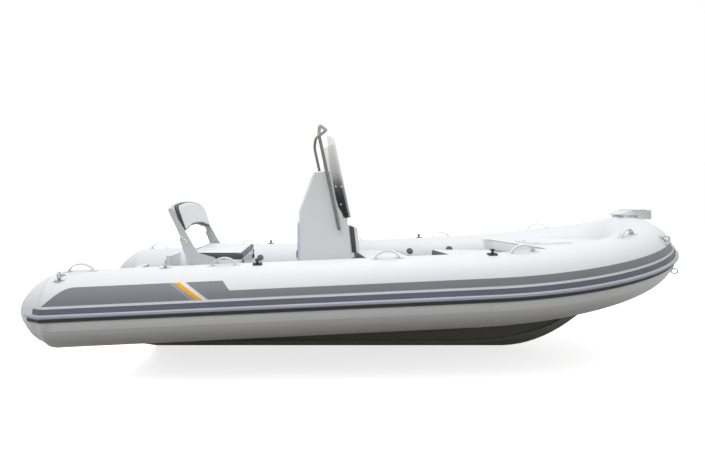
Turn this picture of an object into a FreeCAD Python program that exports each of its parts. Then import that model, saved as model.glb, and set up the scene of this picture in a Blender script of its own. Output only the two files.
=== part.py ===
import FreeCAD, Part
import Sketcher
import math
import os

from FreeCAD import Vector, Placement, Rotation

# A rigid inflatable boat: a metal vee hull inside one horseshoe of inflated tube.
# Frame: origin on the waterline at the centreline amidships, +X to the bow, +Y to port, +Z up.
# The hardest feature is the tapering tube that sweeps round the bow and rises as it goes,
# with its rubbing strake in three zones. It is lofted from upright circles below.

os.makedirs("parts", exist_ok=True)
doc = FreeCAD.newDocument("RigidInflatableBoat")
sheet = doc.addObject("Spreadsheet::Sheet", "Sizes")

SIZES = [
    # Tubes
    ("stern_tip", 2435, "tube tips aft of amidships"),
    ("cap_length", 262, "rounded cone that closes each tube"),
    ("bend_start", 590, "where the tubes start to curve in"),
    ("bow_axis", 2191, "tube axis at the bow"),
    ("tube_offset", 836, "tube axis from the centreline"),
    ("tube_aft_radius", 252, "tube radius at the stern"),
    ("tube_mid_radius", 243, "tube radius at the start of the bend"),
    ("tube_bow_radius", 214, "tube radius at the bow"),
    ("axis_height", 383, "tube axis over the waterline, amidships"),
    ("sheer_per_metre", 45, "rise of the tube axis per metre forward"),
    ("bow_rise", 190, "extra rise of the tube axis at the bow"),
    ("glue_gap", 0.5, "layer of glue under what is fixed to the tubes"),
    ("strake_seam", 0.3, "air between the zones of the strake"),
    # Rubbing strake, as heights over the tube axis
    ("band_top", 46, "top of the flat band"),
    ("bead_half", 12, "half height of the bead"),
    ("lower_bottom", 36, "bottom of the lower band under the axis"),
    ("band_thick", 5, "flat band"),
    ("bead_thick", 24, "bead"),
    ("bead_nose", 7, "how far the bead's edges fall back"),
    ("lower_thick", 7, "lower band"),
    ("band_tip", 2250, "aft end of the flat band, aft of amidships"),
    ("bead_tip", 2325, "aft end of the bead"),
    ("lower_tip", 2296, "aft end of the lower band"),
    # Side marks, as heights over the tube axis and distances from amidships
    ("stripe_low", 62, "bottom of the side stripe"),
    ("stripe_high", 109, "top of the side stripe"),
    ("panel_high", 166, "top of the side panels"),
    ("mark_thick", 1, "glued side marks"),
    ("mark_slant", 150, "how far each slanted end leans aft"),
    ("mark_gap", 2, "gap between two colours"),
    ("panel_tip", 2188, "aft tip of the first panel"),
    ("panel_nose", 178, "length of the first panel's curved nose"),
    ("panel_end", 1262, "lower fore corner of the first panel"),
    ("grey_wide", 31, "grey stripe"),
    ("yellow_wide", 33, "yellow stripe"),
    ("white_wide", 37, "bare stretch before the second panel"),
    ("second_end_low", 990, "lower fore end of the second panel"),
    ("second_end_high", 1076, "upper fore end of the second panel"),
    ("stripe_end_angle", 63, "where the side stripe ends round the bow"),
    # Hull
    ("keel_depth", 210, "keel below the waterline"),
    ("transom_aft", 1803, "outside of the transom aft of amidships"),
    ("chine_half", 600, "half width over the chines"),
    ("chine_height", 0, "chine over the waterline"),
    ("run_start", 420, "where the chines start to close in"),
    ("forefoot", 1130, "where the keel starts to rise"),
    ("stem_end", 2040, "fore end of the hull"),
    ("stem_half", 20, "half width of the stem"),
    ("keel_rise", 490, "rise of the keel to the stem end"),
    ("chine_rise", 505, "rise of the chine to the stem end"),
    ("rail_out", 12, "spray rail outside the chine"),
    ("rail_thick", 12, "spray rail height"),
    ("hull_inset", 139, "topside top edge inside the tube axis"),
    ("hull_drop", 83, "topside top edge under the tube axis"),
    ("cockpit_half", 600, "half width of the cockpit well"),
    ("cockpit_close", 175, "how much the well narrows at the bow deck"),
    ("hull_top", 92, "underside of the deck plate"),
    ("deck_thick", 20, "deck plate"),
    # Transom
    ("transom_thick", 40, "transom board"),
    ("transom_side_top", 520, "transom top beside the tubes"),
    ("transom_mid_top", 300, "bottom of the motor cut-out"),
    ("transom_notch", 620, "width of the motor cut-out"),
    ("motor_pad_wide", 380, "pad that the motor clamps on"),
    ("motor_pad_high", 185, "height of that pad"),
    ("motor_pad_low", 110, "underside of that pad"),
    ("motor_pad_thick", 8, "thickness of that pad"),
    # Bow deck
    ("bow_deck_aft", 1234, "aft edge of the bow deck"),
    ("bow_deck_height", 655, "bow deck at its aft edge"),
    ("deck_rim", 70, "depth of the rim that meets the tubes"),
    ("hatch_aft", 1345, "anchor hatch aft edge"),
    ("hatch_fore", 1640, "anchor hatch fore edge"),
    ("hatch_half", 190, "anchor hatch half width"),
    ("hatch_thick", 12, "anchor hatch"),
    ("hatch_lap", 20, "how far the hatch laps over its well"),
    ("hatch_corner", 30, "hatch corners"),
    ("hatch_hinge_clear", 0.3, "air under the hatch's hinge barrel"),
    ("well_depth", 260, "anchor well"),
    ("well_wall", 30, "hull left round the anchor well"),
    # Seats and lockers
    ("wall_thick", 6, "moulded locker walls"),
    ("locker_corner", 25, "upright corners of lockers and lids"),
    ("lid_thick", 18, "locker lids"),
    ("cushion_corner", 35, "upright corners of cushions"),
    ("cushion_edge", 12, "upper edge of cushions"),
    ("hinge_radius", 4, "hinge barrels"),
    ("hinge_sink", 2, "how far a barrel is let into its lid"),
    ("hinge_end", 60, "barrel stops short of the lid's ends"),
    ("seat_front", 1003, "helm cushion front aft of amidships"),
    ("seat_back", 1448, "helm cushion back aft of amidships"),
    ("seat_half", 492, "helm cushion half width"),
    ("seat_height", 627, "helm cushion top"),
    ("seat_cushion", 52, "helm cushion thickness"),
    ("seat_overhang", 15, "cushion beyond the locker in front"),
    ("seat_back_lap", 8, "cushion beyond the locker behind"),
    ("front_seat_aft", 83, "front cushion aft edge aft of amidships"),
    ("front_seat_fore", 330, "front cushion fore edge"),
    ("front_seat_half", 334, "front cushion half width"),
    ("front_seat_height", 572, "front cushion top"),
    ("front_cushion", 52, "front cushion thickness"),
    ("bow_seat_aft", 656, "bow cushion aft edge"),
    ("bow_seat_fore", 1222, "bow cushion fore edge"),
    ("bow_seat_half", 418, "bow cushion half width"),
    ("bow_seat_height", 572, "bow cushion top"),
    ("bow_cushion", 60, "bow cushion thickness"),
    ("bow_side_lap", 10, "bow cushion beyond its locker at the sides"),
    ("latch_out", 440, "rubber latches from the centreline"),
    ("latch_wide", 26, "width of a latch"),
    ("latch_thick", 10, "thickness of a latch strap"),
    ("latch_clear", 5, "air between a latch and what it stands before"),
    ("latch_drop", 70, "latch foot below the lid"),
    # Helm backrest
    ("pivot_aft", 1225, "backrest pivot aft of amidships"),
    ("pivot_height", 538, "backrest pivot over the waterline"),
    ("pivot_radius", 22, "pivot boss"),
    ("arm_gap", 14, "cushion side to arm plate"),
    ("arm_thick", 12, "arm plates"),
    ("pivot_clear", 0.4, "boss end to arm plate"),
    ("elbow_aft", 1443, "elbow of the arm aft of amidships"),
    ("elbow_height", 724, "elbow over the waterline"),
    ("elbow_radius", 32, "round elbow plate"),
    ("elbow_thick", 6, "elbow plate"),
    ("arm_wide", 54, "width of the arm above the elbow"),
    ("arm_round", 40, "curved inner corner of the arm"),
    ("arm_tip_round", 9, "other arm corners"),
    ("back_foot_aft", 1455, "front of the back board, at its low end"),
    ("back_foot_height", 776, "low end of the back board"),
    ("back_long", 212, "back board up its slope"),
    ("back_lean", 19.2, "lean of the back from upright, degrees"),
    ("board_thick", 20, "back board"),
    ("back_cushion", 30, "front pad of the back"),
    ("rear_pad", 20, "rear pad of the back"),
    ("rear_pad_inset", 32, "rear pad inside the board's sides"),
    ("back_arch", 48, "arch under the back"),
    ("back_crown", 38, "crown of the back's top edge"),
    ("back_corner", 60, "top corners of the back"),
    # Console, as distances aft of amidships and heights
    ("console_aft", 580, "aft face"),
    ("console_half", 345, "half width"),
    ("console_wall", 6, "moulding"),
    ("console_round", 14, "rounded outer edges"),
    ("dash_low", 942, "where the dash starts to slope"),
    ("dash_top_aft", 468, "upper end of the dash"),
    ("dash_top", 1243, "height of that end"),
    ("brow_aft", 339, "front of the brow"),
    ("brow_height", 1255, "top of the brow"),
    ("waist_aft", 300, "front face under the screen"),
    ("waist_height", 1040, "height there"),
    ("shoulder_aft", 277, "front shoulder"),
    ("shoulder_height", 959, "height there"),
    ("nose_aft", 211, "front face above the pad"),
    ("nose_height", 882, "height there"),
    ("shin_aft", 176, "front face at seat height"),
    ("shin_height", 555, "height there"),
    ("foot_aft", 160, "front face at the deck"),
    ("door_half", 165, "console door half width"),
    ("door_low", 190, "console door bottom"),
    ("door_high", 850, "console door top"),
    ("door_proud", 18, "console door stands proud"),
    ("door_lap", 20, "how far the door laps over its opening"),
    ("door_corner", 22, "door corners"),
    ("door_hinge_radius", 5, "door hinge barrel"),
    # Screen and handrail
    ("screen_thick", 5, "windscreen"),
    ("screen_low", 885, "lower edge of the screen"),
    ("screen_top", 1520, "upper edge of the screen"),
    ("screen_mid_low", 150, "middle of the screen aft of amidships, low"),
    ("screen_mid_high", 280, "middle of the screen, high"),
    ("screen_corner_low", 200, "corner of the screen, low"),
    ("screen_corner_high", 345, "corner of the screen, high"),
    ("wing_low", 240, "aft edge of the wing at its foot"),
    ("wing_knee", 337, "aft edge of the wing at its knee"),
    ("wing_knee_height", 1130, "height of the knee"),
    ("wing_top", 368, "aft edge of the wing at the top"),
    ("screen_taper", 20, "screen narrower at the top, each side"),
    ("handrail_radius", 12.5, "handrail tube"),
    ("handrail_out", 32, "handrail centre from the console side"),
    ("handrail_foot_aft", 277, "foot of the handrail"),
    ("handrail_foot", 790, "height of that foot"),
    ("handrail_shoulder_aft", 436, "where the handrail turns in"),
    ("handrail_shoulder", 1530, "height there"),
    ("handrail_cross", 1605, "crossbar ends"),
    ("handrail_cross_in", 50, "crossbar ends inside the uprights"),
    ("handrail_bow", 75, "how far the crossbar bows forward"),
    ("handrail_crown", 20, "how far the crossbar's middle rises"),
    ("handrail_bend", 34, "tangent length of the bends"),
    ("handrail_foot_radius", 9, "fixing feet"),
    ("handrail_foot_low", 820, "lower feet"),
    ("handrail_foot_high", 1180, "upper feet"),
    # Pad on the front of the console
    ("front_board_half", 300, "board behind the pad, half width"),
    ("front_board_thick", 12, "that board"),
    ("front_board_low", 598, "its lower edge"),
    ("front_board_high", 825, "its upper edge"),
    ("front_pad_half", 312, "pad half width"),
    ("front_pad_thick", 62, "pad thickness"),
    # Step plate on the bow
    ("step_aft", 2105, "aft tip"),
    ("step_fore", 2385, "fore end"),
    ("step_half", 100, "half width"),
    ("step_aft_half", 60, "half width of the aft tip"),
    ("step_fore_half", 45, "half width of the fore end"),
    ("step_top", 942, "top"),
    ("step_tip_drop", 32, "top falls to the aft tip"),
    ("step_deep", 75, "depth of the fore part"),
    ("step_thin", 42, "thickness over the riser"),
    ("step_tip_thick", 8, "thickness of the aft tip"),
    ("step_break", 2235, "where the deep part starts"),
    ("riser_aft", 2140, "riser under the aft part"),
    ("riser_half", 78, "riser half width"),
    ("step_pad_thick", 3, "tread pad"),
    ("step_pad_inset", 22, "pad inside the plate's edge"),
    # Fittings on the tubes
    ("handle_span", 184, "grab handle over its ends"),
    ("handle_rise", 52, "grab handle over the tube"),
    ("handle_thick", 7, "grab handle strap"),
    ("handle_wide", 28, "width of that strap"),
    ("handle_patch", 44, "patch under each end"),
    ("cleat_long", 62, "cleat base"),
    ("cleat_wide", 42, "cleat base across"),
    ("cleat_base", 7, "cleat base thickness"),
    ("cleat_stem", 8, "cleat stem radius"),
    ("cleat_head", 15, "cleat head radius"),
    ("cleat_high", 38, "cleat over the tube"),
    ("valve_radius", 31, "valve flange"),
    ("valve_cap", 21, "valve cap radius"),
    ("valve_high", 9, "valve over the tube"),
    ("ring_patch", 42, "patch under a lifting ring"),
    ("ring_patch_thick", 3, "thickness of that patch"),
    ("ring_web", 24, "webbing over the ring's foot"),
    ("ring_radius", 20, "lifting ring, to the middle of its bar"),
    ("ring_bar", 4, "bar radius of a lifting ring"),
]
for row, (alias, number, note) in enumerate(SIZES, start=1):
    sheet.set("A%d" % row, alias)
    sheet.set("B%d" % row, str(number))
    sheet.set("C%d" % row, note)
    sheet.setAlias("B%d" % row, alias)
doc.recompute()


def size(alias):
    return float(sheet.get(alias))


def value(rule):
    """The number of a rule, which is an expression over the sheet."""
    return float(sheet.evalExpression(rule))


NODES = []


def keep(obj, node):
    obj.Label = node
    NODES.append(obj)
    return obj


def feature(node, shape):
    obj = doc.addObject("Part::Feature", node)
    obj.Shape = shape
    obj.Placement = shape.Placement
    return keep(obj, node)


def largest(shape):
    return sorted(shape.Solids, key=lambda part: -part.Volume)[0]


def one_solid(shape):
    shape = shape.removeSplitter()
    if len(shape.Solids) == 1:
        return shape.Solids[0]
    return shape


# Bodies drawn as a sketch on one origin plane, then padded
def drawn_body(node, plane, points, length, midplane=False):
    """points are pairs of rules, in the plane's own two directions."""
    body = doc.addObject("PartDesign::Body", node)
    sketch = body.newObject("Sketcher::SketchObject", node + "_outline")
    for item in body.Origin.OriginFeatures:
        if item.Role == plane:
            sketch.AttachmentSupport = [(item, "")]
    sketch.MapMode = "FlatFace"
    places = [(value(a), value(b)) for a, b in points]
    count = len(points)
    for i in range(count):
        start = Vector(places[i][0], places[i][1], 0)
        end = Vector(places[(i + 1) % count][0], places[(i + 1) % count][1], 0)
        sketch.addGeometry(Part.LineSegment(start, end), False)
    for i in range(count):
        sketch.addConstraint(Sketcher.Constraint("Coincident", i, 2, (i + 1) % count, 1))
    for i in range(count):
        for axis, kind in enumerate(("DistanceX", "DistanceY")):
            index = sketch.addConstraint(Sketcher.Constraint(kind, -1, 1, i, 1, places[i][axis]))
            name = "corner%d%s" % (i, "ab"[axis])
            sketch.renameConstraint(index, name)
            sketch.setExpression("Constraints." + name, points[i][axis])
    pad = body.newObject("PartDesign::Pad", node + "_extrusion")
    pad.Profile = sketch
    pad.Midplane = midplane
    pad.setExpression("Length", length)
    sketch.Visibility = False
    doc.recompute()
    return body


def round_edges(body, name, chosen, radius):
    """Round the edges of the body's last feature for which chosen(edge) is true."""
    last = body.Tip
    edges = ["Edge%d" % i for i, edge in enumerate(last.Shape.Edges, 1) if chosen(edge)]
    fillet = body.newObject("PartDesign::Fillet", name)
    fillet.Base = (last, edges)
    fillet.setExpression("Radius", radius)
    doc.recompute()
    return fillet


def upright(edge):
    box = edge.BoundBox
    return box.ZLength > 1 and box.XLength < 0.001 and box.YLength < 0.001


def level_at(height):
    def chosen(edge):
        box = edge.BoundBox
        return abs(box.ZMin - height) < 0.001 and abs(box.ZMax - height) < 0.001
    return chosen


def slab(node, aft, fore, half, low, thick, corner, edge=None):
    """A level piece with rounded upright corners, and a rounded upper edge where it has one."""
    ring = [(aft, "-(%s)" % half), (fore, "-(%s)" % half), (fore, half), (aft, half)]
    body = drawn_body(node, "XY_Plane", ring, thick)
    round_edges(body, node + "_corners", upright, corner)
    if edge:
        round_edges(body, node + "_edge", level_at(value(thick)), edge)
    body.setExpression("Placement.Base.z", low)
    return body


def locker(node, aft, fore, half, top):
    """An open-topped moulding that stands on the deck."""
    height = "%s - %s" % (top, FLOOR)
    body = slab(node, aft, fore, half, FLOOR, height, "Sizes.locker_corner")
    last = body.Tip
    faces = last.Shape.Faces
    top_face = max(range(len(faces)), key=lambda i: faces[i].CenterOfMass.z)
    walls = body.newObject("PartDesign::Thickness", node + "_walls")
    walls.Base = (last, ["Face%d" % (top_face + 1)])
    walls.setExpression("Value", "Sizes.wall_thick")
    walls.Reversed = True
    doc.recompute()
    return keep(body, node)


def hinged_lid(node, aft, fore, half, low, hinge_x):
    """A lid with its hinge barrel let into one end; hinge_x is the barrel's axis."""
    board = slab(node + "_board", aft, fore, half, low, "Sizes.lid_thick", "Sizes.locker_corner")
    barrel = doc.addObject("Part::Cylinder", node + "_barrel")
    barrel.setExpression("Radius", "Sizes.hinge_radius")
    barrel.setExpression("Height", "2 * (%s) - 2 * Sizes.hinge_end" % half)
    barrel.setExpression("Placement.Base.x", hinge_x)
    barrel.setExpression("Placement.Base.y", "(%s) - Sizes.hinge_end" % half)
    barrel.setExpression("Placement.Base.z", "%s + Sizes.hinge_radius" % low)
    barrel.Placement.Rotation = Rotation(Vector(1, 0, 0), 90)
    lid = doc.addObject("Part::Fuse", node)
    lid.Base = board
    lid.Tool = barrel
    doc.recompute()
    return keep(lid, node)


# Tube geometry
def bend(angle):
    """A point of the tube axis round the bow and the way out of the boat there."""
    a = math.radians(angle)
    reach = size("bow_axis") - size("bend_start")
    off = size("tube_offset")
    place = (size("bend_start") + reach * math.sin(a), -off * math.cos(a))
    out = Vector(off * math.sin(a), -reach * math.cos(a), 0)
    return place, out.normalize()


def bend_lengths():
    table = [0.0]
    last = bend(0)[0]
    for angle in range(1, 91):
        here = bend(angle)[0]
        table.append(table[-1] + math.hypot(here[0] - last[0], here[1] - last[1]))
        last = here
    return table


BEND = bend_lengths()


def line_height(x):
    return size("axis_height") + size("sheer_per_metre") * x / 1000.0


def bend_station(angle):
    turn = angle if angle <= 90 else 180 - angle
    low = int(turn)
    high = min(low + 1, 90)
    run = BEND[low] + (BEND[high] - BEND[low]) * (turn - low)
    share = run / BEND[90]
    place, out = bend(angle)
    height = line_height(size("bend_start") + run) + size("bow_rise") * share ** 2
    start = size("tube_mid_radius")
    radius = start + (size("tube_bow_radius") - start) * share
    return Vector(place[0], place[1], height), out, radius


CAP_X = size("cap_length") - size("stern_tip")


def side_station(x, side):
    share = (x - CAP_X) / (size("bend_start") - CAP_X)
    radius = size("tube_aft_radius") + (size("tube_mid_radius") - size("tube_aft_radius")) * share
    return Vector(x, side * size("tube_offset"), line_height(x)), Vector(0, side, 0), radius


def circle(centre, out, radius):
    along = Vector(0, 0, 1).cross(out)
    return Part.Wire([Part.Circle(centre, along, radius).toShape()])


# The stern cone's outline, as shares of its length and of the tube's radius
CAP = [(0.0, 0.0), (0.035, 0.18), (0.085, 0.305), (0.22, 0.48),
       (0.41, 0.68), (0.65, 0.85), (0.86, 0.96), (1.0, 1.0)]


def cap_outline():
    points = []
    for share, rise in CAP:
        points.append(Vector(CAP_X - size("cap_length") * (1 - share), size("tube_aft_radius") * rise, 0))
    curve = Part.BSplineCurve()
    curve.interpolate(Points=points, InitialTangent=Vector(0, 1, 0), FinalTangent=Vector(1, 0, 0))
    return curve


CAP_CURVE = cap_outline()


def tube_side(side, grow=0.0):
    start, out, aft_radius = side_station(CAP_X, side)
    end, out, fore_radius = side_station(size("bend_start"), side)
    straight = Part.makeLoft([circle(start, out, aft_radius + grow), circle(end, out, fore_radius + grow)],
                             True, True)
    outline = CAP_CURVE.toShape()
    if grow:
        offset = Part.OffsetCurve(CAP_CURVE, -grow, Vector(0, 0, 1))
        outline = offset.approximateBSpline(0.01, 60, 5).toShape()
    first = outline.valueAt(outline.FirstParameter)
    last = outline.valueAt(outline.LastParameter)
    foot = Vector(last.x, 0, 0)
    edges = [outline, Part.makeLine(last, foot), Part.makeLine(foot, Vector(first.x, 0, 0))]
    cap = Part.Face(Part.Wire(edges)).revolve(foot, Vector(1, 0, 0), 360)
    cap.translate(Vector(0, start.y, start.z))
    return straight.fuse(cap).removeSplitter()


BEND_STEP = 4.5
BEND_ANGLES = [BEND_STEP * k for k in range(41)]


def tube_bend(grow=0.0):
    wires = []
    for angle in BEND_ANGLES:
        centre, out, radius = bend_station(angle)
        wires.append(circle(centre, out, radius + grow))
    return Part.makeLoft(wires, True, False)


gap = size("glue_gap")
starboard_room = tube_side(-1, gap)
port_room = tube_side(1, gap)
bow_room = tube_bend(gap)
feature("tube_starboard", tube_side(-1))
feature("tube_port", tube_side(1))
feature("tube_bow", tube_bend())


def clear_of_tubes(shape):
    for room in (starboard_room, port_room, bow_room):
        shape = shape.cut(room)
    return shape


# Bands round the tube: low and high are heights over the tube axis
SKIN_DEPTH = 14.0
SKIN_SPARE = 12.0


def band_wire(centre, out, radius, low, high, thick, nose=0.0):
    """A band's section: its face follows the tube, or with a nose it is flat with bevelled edges."""
    def at(distance, height):
        return centre + out * distance + Vector(0, 0, height)

    def reach(height, extra):
        return math.sqrt(max((radius + extra) ** 2 - height ** 2, 1.0))

    middle = (low + high) / 2.0
    inner_low = at(reach(low, 0) - SKIN_DEPTH, low)
    inner_high = at(reach(high, 0) - SKIN_DEPTH, high)
    outer_low = at(reach(low, thick - nose), low)
    outer_high = at(reach(high, thick - nose), high)
    if nose:
        face_low = at(reach(middle, thick), middle - (high - low) / 4)
        face_high = at(reach(middle, thick), middle + (high - low) / 4)
        face = [Part.makeLine(outer_low, face_low), Part.makeLine(face_low, face_high),
                Part.makeLine(face_high, outer_high)]
    else:
        face = [Part.Arc(outer_low, at(reach(middle, thick), middle), outer_high).toShape()]
    back = [Part.makeLine(outer_high, inner_high), Part.makeLine(inner_high, inner_low),
            Part.makeLine(inner_low, outer_low)]
    return Part.Wire(face + back)


def cap_station(x, side):
    """Centre, way out and radius of the cone's rim at x."""
    low = CAP_CURVE.FirstParameter
    high = CAP_CURVE.LastParameter
    for step in range(50):
        middle = (low + high) / 2.0
        if CAP_CURVE.value(middle).x < x:
            low = middle
        else:
            high = middle
    rim = CAP_CURVE.value(high)
    along = CAP_CURVE.tangent(high)[0]
    out = Vector(-along.y, along.x * side, 0).normalize()
    place = Vector(rim.x, side * (size("tube_offset") + rim.y), line_height(CAP_X))
    return place - out * rim.y, out, rim.y


GROWN = {}


def grown_side(side, grow):
    key = (side, grow)
    if key not in GROWN:
        GROWN[key] = tube_side(side, grow)
    return GROWN[key]


def grown_bend(grow):
    if grow not in GROWN:
        GROWN[grow] = tube_bend(grow)
    return GROWN[grow]


CAP_STEPS = 6


def side_band(side, low, high, thick, nose=0.0, start=None, end=None, tip=None, skin=False):
    """A band on one side tube; tip is where it ends on the cone, and a skin lies close on the tube."""
    if skin:
        blank = side_band(side, low, high, thick + SKIN_SPARE, 0.0, start, end, tip)
        return blank.common(grown_side(side, gap + thick))
    begin = CAP_X if start is None else start
    finish = size("bend_start") if end is None else end
    wires = []
    for x in (begin, finish):
        centre, out, radius = side_station(x, side)
        wires.append(band_wire(centre, out, radius, low, high, thick, nose))
    shape = Part.makeLoft(wires, True, True)
    if tip is not None:
        wires = []
        for step in range(CAP_STEPS + 1):
            share = step / float(CAP_STEPS)
            centre, out, radius = cap_station(-tip + (CAP_X + tip) * share, side)
            if share == 1:
                centre, out, radius = side_station(CAP_X, side)
            full = min(0.35 + 1.3 * share, 1.0) if nose else 1.0
            wires.append(band_wire(centre, out, radius, low * full, high * full, thick * full, nose * full))
        shape = shape.fuse(Part.makeLoft(wires, True, False))
    return shape.cut(starboard_room if side < 0 else port_room)


def bend_band(low, high, thick, nose=0.0, angles=None, skin=False):
    if skin:
        blank = bend_band(low, high, thick + SKIN_SPARE, 0.0, angles)
        return blank.common(grown_bend(gap + thick))
    wires = []
    for angle in angles or BEND_ANGLES:
        centre, out, radius = bend_station(angle)
        wires.append(band_wire(centre, out, radius, low, high, thick, nose))
    return Part.makeLoft(wires, True, False).cut(bow_room)


def strake(node, low, high, thick, nose, tip):
    skin = nose == 0
    port = side_band(1, low, high, thick, nose, tip=tip, skin=skin)
    starboard = side_band(-1, low, high, thick, nose, tip=tip, skin=skin)
    front = bend_band(low, high, thick, nose, skin=skin)
    return feature(node, one_solid(port.fuse([front, starboard])))


bead = size("bead_half")
seam = size("strake_seam")
strake("strake_band", bead + seam, size("band_top"), size("band_thick"), 0.0, size("band_tip"))
strake("strake_bead", -bead, bead, size("bead_thick"), size("bead_nose"), size("bead_tip"))
strake("strake_lower", -size("lower_bottom"), -bead - seam, size("lower_thick"), 0.0, size("lower_tip"))


# Side stripes and panels, thin pieces glued over the tube
def mark(side, aft_low, fore_low, fore_high, nose=None):
    """One slanted mark between the stripe's foot and the panels' top. nose gives a curved aft end."""
    low = size("stripe_low")
    high = size("panel_high")
    aft_high = aft_low - size("mark_slant") if nose is None else aft_low + nose

    def at(x, height):
        return Vector(x, side * size("tube_offset"), line_height(x) + height)

    corners = [at(aft_low, low), at(fore_low, low), at(fore_high, high), at(aft_high, high)]
    edges = [Part.makeLine(a, b) for a, b in zip(corners, corners[1:])]
    if nose is None:
        edges.append(Part.makeLine(corners[3], corners[0]))
    else:
        tall = high - low
        curve = Part.BezierCurve()
        curve.setPoles([corners[3], at(aft_low + nose * 0.55, high - tall * 0.04),
                        at(aft_low + nose * 0.38, low + tall * 0.52), corners[0]])
        edges.append(curve.toShape())
    prism = Part.Face(Part.Wire(edges)).extrude(Vector(0, side * 2 * size("tube_aft_radius"), 0))
    skin = prism.common(grown_side(side, gap + size("mark_thick")))
    return skin.cut(starboard_room if side < 0 else port_room)


def side_marks(side):
    lean = size("mark_slant")
    between = size("mark_gap")
    end = -size("panel_end")
    first = mark(side, -size("panel_tip"), end, end - lean, nose=size("panel_nose"))
    grey_at = end + between
    grey_end = grey_at + size("grey_wide")
    grey = mark(side, grey_at, grey_end, grey_end - lean)
    yellow_at = grey_end + between
    yellow_end = yellow_at + size("yellow_wide")
    yellow = mark(side, yellow_at, yellow_end, yellow_end - lean)
    second_end = -size("second_end_low")
    second = mark(side, yellow_end + size("white_wide"), second_end, -size("second_end_high"))
    line = side_band(side, size("stripe_low"), size("stripe_high"), size("mark_thick"),
                     start=-size("second_end_high"), end=size("bend_start"), skin=True)
    return first, grey, yellow, second.fuse(line)


def bend_line(side):
    end = size("stripe_end_angle")
    steps = int(math.ceil(end / BEND_STEP))
    angles = [end * k / steps for k in range(steps + 1)]
    if side > 0:
        angles = [180 - angle for angle in angles]
    return bend_band(size("stripe_low"), size("stripe_high"), size("mark_thick"), angles=angles, skin=True)


greys = []
yellows = []
for side, word in ((-1, "starboard"), (1, "port")):
    first, grey, yellow, long_one = side_marks(side)
    long_one = one_solid(long_one.fuse(bend_line(side)))
    feature("side_panel_" + word, Part.makeCompound([first, long_one]))
    greys.append(grey)
    yellows.append(yellow)
feature("stripes_grey", Part.makeCompound(greys))
feature("stripes_yellow", Part.makeCompound(yellows))


# Hull: vee bottom, spray rails on the chines, topsides up under the tubes, the cockpit let into it
def tube_line(x, inset):
    """Half width and height of the line that runs inset from the tube axis, at x."""
    if x <= size("bend_start"):
        return size("tube_offset") - inset, line_height(x)
    best = None
    for step in range(0, 361):
        centre, out, radius = bend_station(step / 4.0)
        place = centre - out * inset
        if best is None or abs(place.x - x) < best[0]:
            best = (abs(place.x - x), max(-place.y, 0.0), place.z)
    return best[1], best[2]


def hull_wire(x):
    run = max(x - size("run_start"), 0.0) / (size("stem_end") - size("run_start"))
    foot = max(x - size("forefoot"), 0.0) / (size("stem_end") - size("forefoot"))
    keel = -size("keel_depth") + size("keel_rise") * foot ** 2
    half = size("stem_half") + (size("chine_half") - size("stem_half")) * (1 - run ** 2.2)
    chine = size("chine_height") + size("chine_rise") * run ** 3
    rail = size("rail_out")
    rail_half = size("rail_thick") / 2.0
    top_half, top = tube_line(x, size("hull_inset"))
    top_half = max(top_half, half + rail + 8)
    top = max(top - size("hull_drop"), chine + 40)
    side = [(half, chine - rail_half), (half + rail, chine - rail_half), (half + rail, chine + rail_half),
            (half, chine + rail_half), (top_half, top)]
    ring = [Vector(x, 0, keel)]
    ring += [Vector(x, y, z) for y, z in side]
    ring += [Vector(x, -y, z) for y, z in reversed(side)]
    return Part.makePolygon(ring + ring[:1])


HULL_STATIONS = 24


def cockpit_block(x_from, x_to, low, tall):
    half = size("cockpit_half")
    close = size("cockpit_close")
    straight = size("bend_start") - 30
    side = [(x_from, half)]
    for step in range(5):
        share = step / 4.0
        side.append((straight + (x_to - straight) * share, half - close * share ** 1.3))
    ring = [Vector(x, -y, low) for x, y in side]
    ring += [Vector(x, y, low) for x, y in reversed(side)]
    return Part.Face(Part.makePolygon(ring + ring[:1])).extrude(Vector(0, 0, tall))


ABOVE_ALL = 900


def hull_shape():
    aft = -size("transom_aft")
    start = size("run_start")
    straight = Part.makeLoft([hull_wire(aft), hull_wire(start)], True, True)
    step = (size("stem_end") - start) / HULL_STATIONS
    front = Part.makeLoft([hull_wire(start + step * k) for k in range(HULL_STATIONS + 1)], True, True)
    cockpit = cockpit_block(aft - 10, size("bow_deck_aft"), size("hull_top"), ABOVE_ALL)
    wall = size("well_wall")
    bay = Part.makeBox(
        size("hatch_fore") - size("bow_deck_aft") + wall, 2 * (size("hatch_half") + wall), ABOVE_ALL,
        Vector(size("bow_deck_aft"), -size("hatch_half") - wall,
               size("bow_deck_height") - size("well_depth") - wall))
    return clear_of_tubes(straight.fuse(front).cut(cockpit).cut(bay))


hull = largest(hull_shape())
feature("hull_shell", hull)

# Decks
feature("cockpit_deck", cockpit_block(-size("transom_aft") + size("transom_thick"), size("bow_deck_aft"),
                                      size("hull_top"), size("deck_thick")))

deck_low = size("hull_top")
deck_aft = size("bow_deck_aft")
deck_high = size("bow_deck_height")
rise = size("sheer_per_metre") / 1000.0


def plan_block(inset, low):
    """A block inside the bow tubes, inset from their axis, from the deck's aft edge forward."""
    ring = [Vector(deck_aft, -size("tube_offset") + inset, low)]
    for angle in range(0, 181, 6):
        centre, out, radius = bend_station(angle)
        place = centre - out * inset
        if place.x > deck_aft:
            ring.append(Vector(place.x, place.y, low))
    ring.append(Vector(deck_aft, size("tube_offset") - inset, low))
    return Part.Face(Part.makePolygon(ring + ring[:1])).extrude(Vector(0, 0, ABOVE_ALL))


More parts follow.
